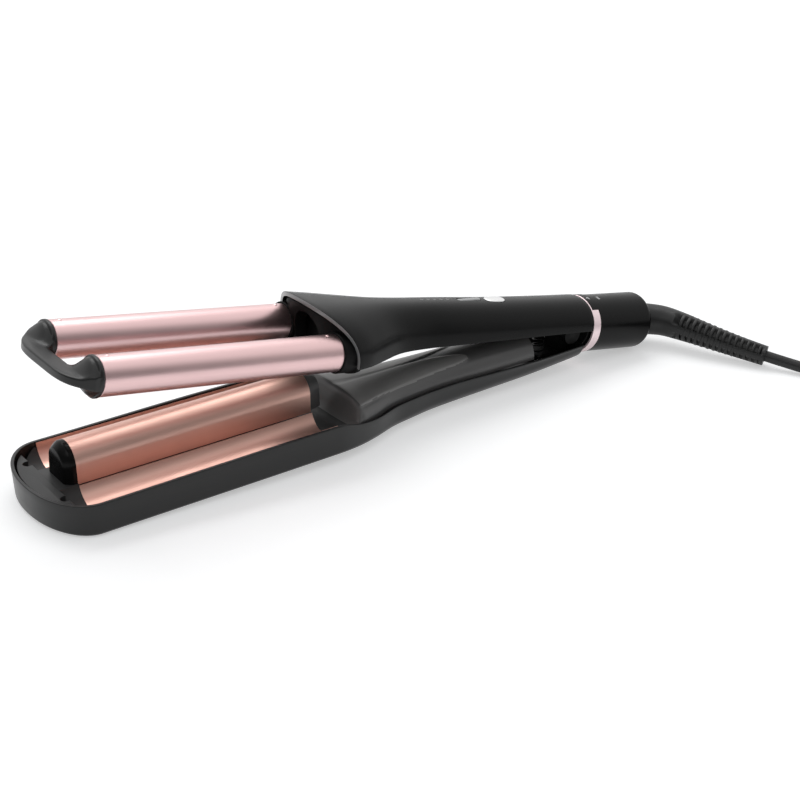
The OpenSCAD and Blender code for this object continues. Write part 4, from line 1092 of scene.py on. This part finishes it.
# ends of the centre barrel, as steps from its front and its rear edge with how far each ring is grown
frontSteps = ((0, 0), (1.5, 0), (2.1, -0.12), (2.6, -0.4), (3.4, -0.9), (4.6, -1.9), (5, -2.3), (5.2, -2.9))
rearSteps = ((-7.9, -4.2), (-7.3, -3.3), (-5.5, -2.7), (-2.5, -1.9), (0, -1.6))
for name, at, steps, finishName, node, slot in (
        ("centreCap", barrels["end"], frontSteps, "satinBlack", "centre_cap", "heat_proof_black"),
        ("rearHolder", barrels["start"], rearSteps, "holderGrey", "rear_holder", "holder_grey")):
    shape = loft([[(at + d, y, z) for y, z in ridgeOutline(grow)] for d, grow in steps], "flat")
    makePiece(name, shape, "lower", finishName, [node], slot, crease=35)

# deck: fills the nose, with a pocket under each barrel cap and two round recesses; rows: inset, height
deck = {"top": 2.4, "low": -8.9, "pocketEnd": 8.8, "recess": {"radius": 2.2, "deep": 3, "x": 9.9, "y": 17.5}}
deckRows = ((10.4, deck["low"]), (7, deck["low"] + 1.5), (3.5, deck["low"] + 4.5), (2.5, deck["top"] - 0.4),
            (2.7, deck["top"]))


def nosePlan(inset, z):
    side = [(x, -y, z) for x, y in (nosePoint(a, inset) for a in [0] + noseAngles)]
    return side + [(x, -y, z) for x, y, z in side[::-1]]


pockets = [rodX(trough["radius"], 281, barrels["end"] + deck["pocketEnd"], s * trough["y"], trough["z"], 96)
           for s in (-1, 1)]
hole = deck["recess"]
recesses = [rodZ(hole["radius"], deck["top"] - hole["deep"], 10, barrels["end"] + hole["x"], s * hole["y"])
            for s in (-1, 1)]
makePiece("frontDeck", loft([nosePlan(*row) for row in deckRows]), "lower", "deckBlack", ["front_deck"],
          "heat_proof_black", cuts=pockets, edge=(0.25, 40, 2), after=recesses, crease=35)
print("lower arm made")

# solids that show as they are, with their own finishes
solids = {
    "innerBlack": ("upper_inner_cover", "tail_cap"),
    "heaterMetal": ("upper_heater_cores", "lower_heater_core"),
    "ceramicPlate": ("upper_heater_plates", "lower_heater_plate"), "boardGreen": ("control_board",),
    "switchGrey": ("tact_switches",), "dimMark": ("indicator_lights",),
    "holderBlack": ("hinge_core", "hinge_knuckle"), "darkSteel": ("hinge_pin", "opening_spring"),
    "screwSteel": ("upper_screws",), "wireCover": ("mains_wires",), "rubberBlack": ("swivel_bushing",),
    "fuseTan": ("thermal_fuses", "lower_fuse")}
for finishName, nodes in solids.items():
    for node in nodes:
        mesh = frame["nodes"][node].data
        mesh.materials.clear()
        mesh.materials.append(materials[finishName])
print("solids dressed")

# floor, world and lamps
stage = {"floorSize": 12.0, "floorDrop": 0.0001, "floorGlow": 0.42, "floorColour": 0.8,
         "tableEdge": (0.4, 1.1), "farDark": 0.8, "fadeOut": (0.7, 2.0), "worldLight": 0.5,
         "secondLight": 0.12, "toCamera": (0.64, 0.77, 0),
         "room": ((0.16, 0.2), (0.42, 0.16), (0.66, 0.34), (0.86, 0.78))}


def floorMaterial(s):
    material = bpy.data.materials.new("paleFloor")
    material.use_nodes = True
    tree = material.node_tree
    tree.nodes.clear()
    output = addNode(tree, "ShaderNodeOutputMaterial")
    diffuse = addNode(tree, "ShaderNodeBsdfDiffuse", {"Color": (*grey(s["floorColour"]), 1)})
    glow = addNode(tree, "ShaderNodeEmission")
    rays = addNode(tree, "ShaderNodeLightPath")
    seen, seenToo = (addNode(tree, "ShaderNodeMath", operation="MAXIMUM") for i in range(2))
    strength = addNode(tree, "ShaderNodeMath", {1: s["floorGlow"]}, operation="MULTIPLY")
    both = addNode(tree, "ShaderNodeAddShader")
    # far floor is darker in reflections, as at the edge of a lit table, and fades to white in plain view
    place = addNode(tree, "ShaderNodeTexCoord")
    length = addNode(tree, "ShaderNodeVectorMath", operation="LENGTH")
    far = addNode(tree, "ShaderNodeMapRange", rangeValues(s["tableEdge"], 0, s["farDark"]),
                  interpolation_type="SMOOTHSTEP")
    farSeen = addNode(tree, "ShaderNodeMath", operation="MULTIPLY")
    pale = addNode(tree, "ShaderNodeMapRange", rangeValues(s["fadeOut"]), interpolation_type="SMOOTHSTEP")
    paleSeen = addNode(tree, "ShaderNodeMath", operation="MULTIPLY_ADD")
    dark = addNode(tree, "ShaderNodeEmission", {"Strength": 0})
    shade = addNode(tree, "ShaderNodeMixShader")
    wire(tree,
         (place, "Object", length, 0), (length, "Value", far, "Value"), (length, "Value", pale, "Value"),
         (far, "Result", farSeen, 0), (rays, "Is Glossy Ray", farSeen, 1),
         (rays, "Is Camera Ray", seen, 0), (rays, "Is Glossy Ray", seen, 1),
         (seen, 0, seenToo, 0), (rays, "Is Transmission Ray", seenToo, 1), (seenToo, 0, strength, 0),
         (pale, "Result", paleSeen, 0), (rays, "Is Camera Ray", paleSeen, 1), (strength, 0, paleSeen, 2),
         (paleSeen, 0, glow, "Strength"), (diffuse, 0, both, 0), (glow, 0, both, 1),
         (farSeen, 0, shade, "Fac"), (both, 0, shade, 1), (dark, 0, shade, 2), (shade, 0, output, "Surface"))
    return material


half = stage["floorSize"] / 2
corners = [(x * half, y * half, -stage["floorDrop"]) for x, y in ((-1, -1), (1, -1), (1, 1), (-1, 1))]
floor = newObject("floor", meshOf("floor", (corners, [(0, 1, 2, 3)])))
floor.data.materials.append(floorMaterial(stage))


def buildWorld(s):
    world = bpy.data.worlds.new("studio")
    bpy.context.scene.world = world
    world.use_nodes = True
    tree = world.node_tree
    tree.nodes.clear()
    output = addNode(tree, "ShaderNodeOutputWorld")
    light = addNode(tree, "ShaderNodeBackground",
                    {"Color": (0.96, 0.98, 1.0, 1), "Strength": s["worldLight"]})
    white = addNode(tree, "ShaderNodeBackground", {"Color": (1, 1, 1, 1)})
    room = addNode(tree, "ShaderNodeBackground")
    place = addNode(tree, "ShaderNodeTexCoord")
    split = addNode(tree, "ShaderNodeSeparateXYZ")
    ramp = addNode(tree, "ShaderNodeValToRGB")  # how light the room is by height, on the side of the viewer
    points = ramp.color_ramp.elements
    points[0].position, points[0].color = 0.0, (0.32, 0.32, 0.33, 1)
    points[1].position, points[1].color = 1.0, (1, 1, 1, 1)
    for at, v in s["room"]:
        points.new(at).color = (v, v, v * 1.01, 1)
    towards = addNode(tree, "ShaderNodeVectorMath", {1: s["toCamera"]}, operation="DOT_PRODUCT")
    side = addNode(tree, "ShaderNodeMapRange", rangeValues((-0.15, 0.3)), interpolation_type="SMOOTHSTEP")
    roomMix = addNode(tree, "ShaderNodeMix", {"A": (1, 1, 1, 1)}, data_type="RGBA")
    rays = addNode(tree, "ShaderNodeLightPath")
    # light that comes by way of a second bright surface is weaker
    deeper = addNode(tree, "ShaderNodeMapRange", rangeValues((1, 2), 1, s["secondLight"]))
    clear = addNode(tree, "ShaderNodeMath", operation="MAXIMUM")
    first, second = (addNode(tree, "ShaderNodeMixShader") for i in range(2))
    wire(tree,
         (place, "Generated", split, "Vector"), (split, "Z", ramp, "Fac"), (place, "Generated", towards, 0),
         (towards, "Value", side, "Value"), (side, "Result", roomMix, "Factor"),
         (ramp, "Color", roomMix, "B"), (roomMix, "Result", room, "Color"),
         (rays, "Glossy Depth", deeper, "Value"), (deeper, "Result", room, "Strength"),
         (rays, "Is Glossy Ray", first, "Fac"),
         (light, 0, first, 1), (room, 0, first, 2),
         (rays, "Is Camera Ray", clear, 0), (rays, "Is Transmission Ray", clear, 1),
         (clear, 0, second, "Fac"), (first, 0, second, 1), (white, 0, second, 2),
         (second, 0, output, "Surface"))


buildWorld(stage)
lamps = {"top": dict(at=(-0.3, -1.3, 2.3), to=(0, 0, 0), size=(2.4, 1.6), power=30),
         "front": dict(at=(1.6, 1.2, 2.2), to=(0.05, 0, 0), size=(1.2, 1.2), power=6)}
for name, lamp in lamps.items():
    data = bpy.data.lights.new(name, "AREA")
    data.shape = "RECTANGLE"
    data.size, data.size_y = lamp["size"]
    data.energy = lamp["power"]
    aim = Vector(lamp["to"]) - Vector(lamp["at"])
    newObject(name, data).matrix_world = (Matrix.Translation(lamp["at"])
                                          @ aim.to_track_quat("-Z", "Y").to_matrix().to_4x4())
bpy.context.scene.view_settings.view_transform = "Standard"
print("stage set")
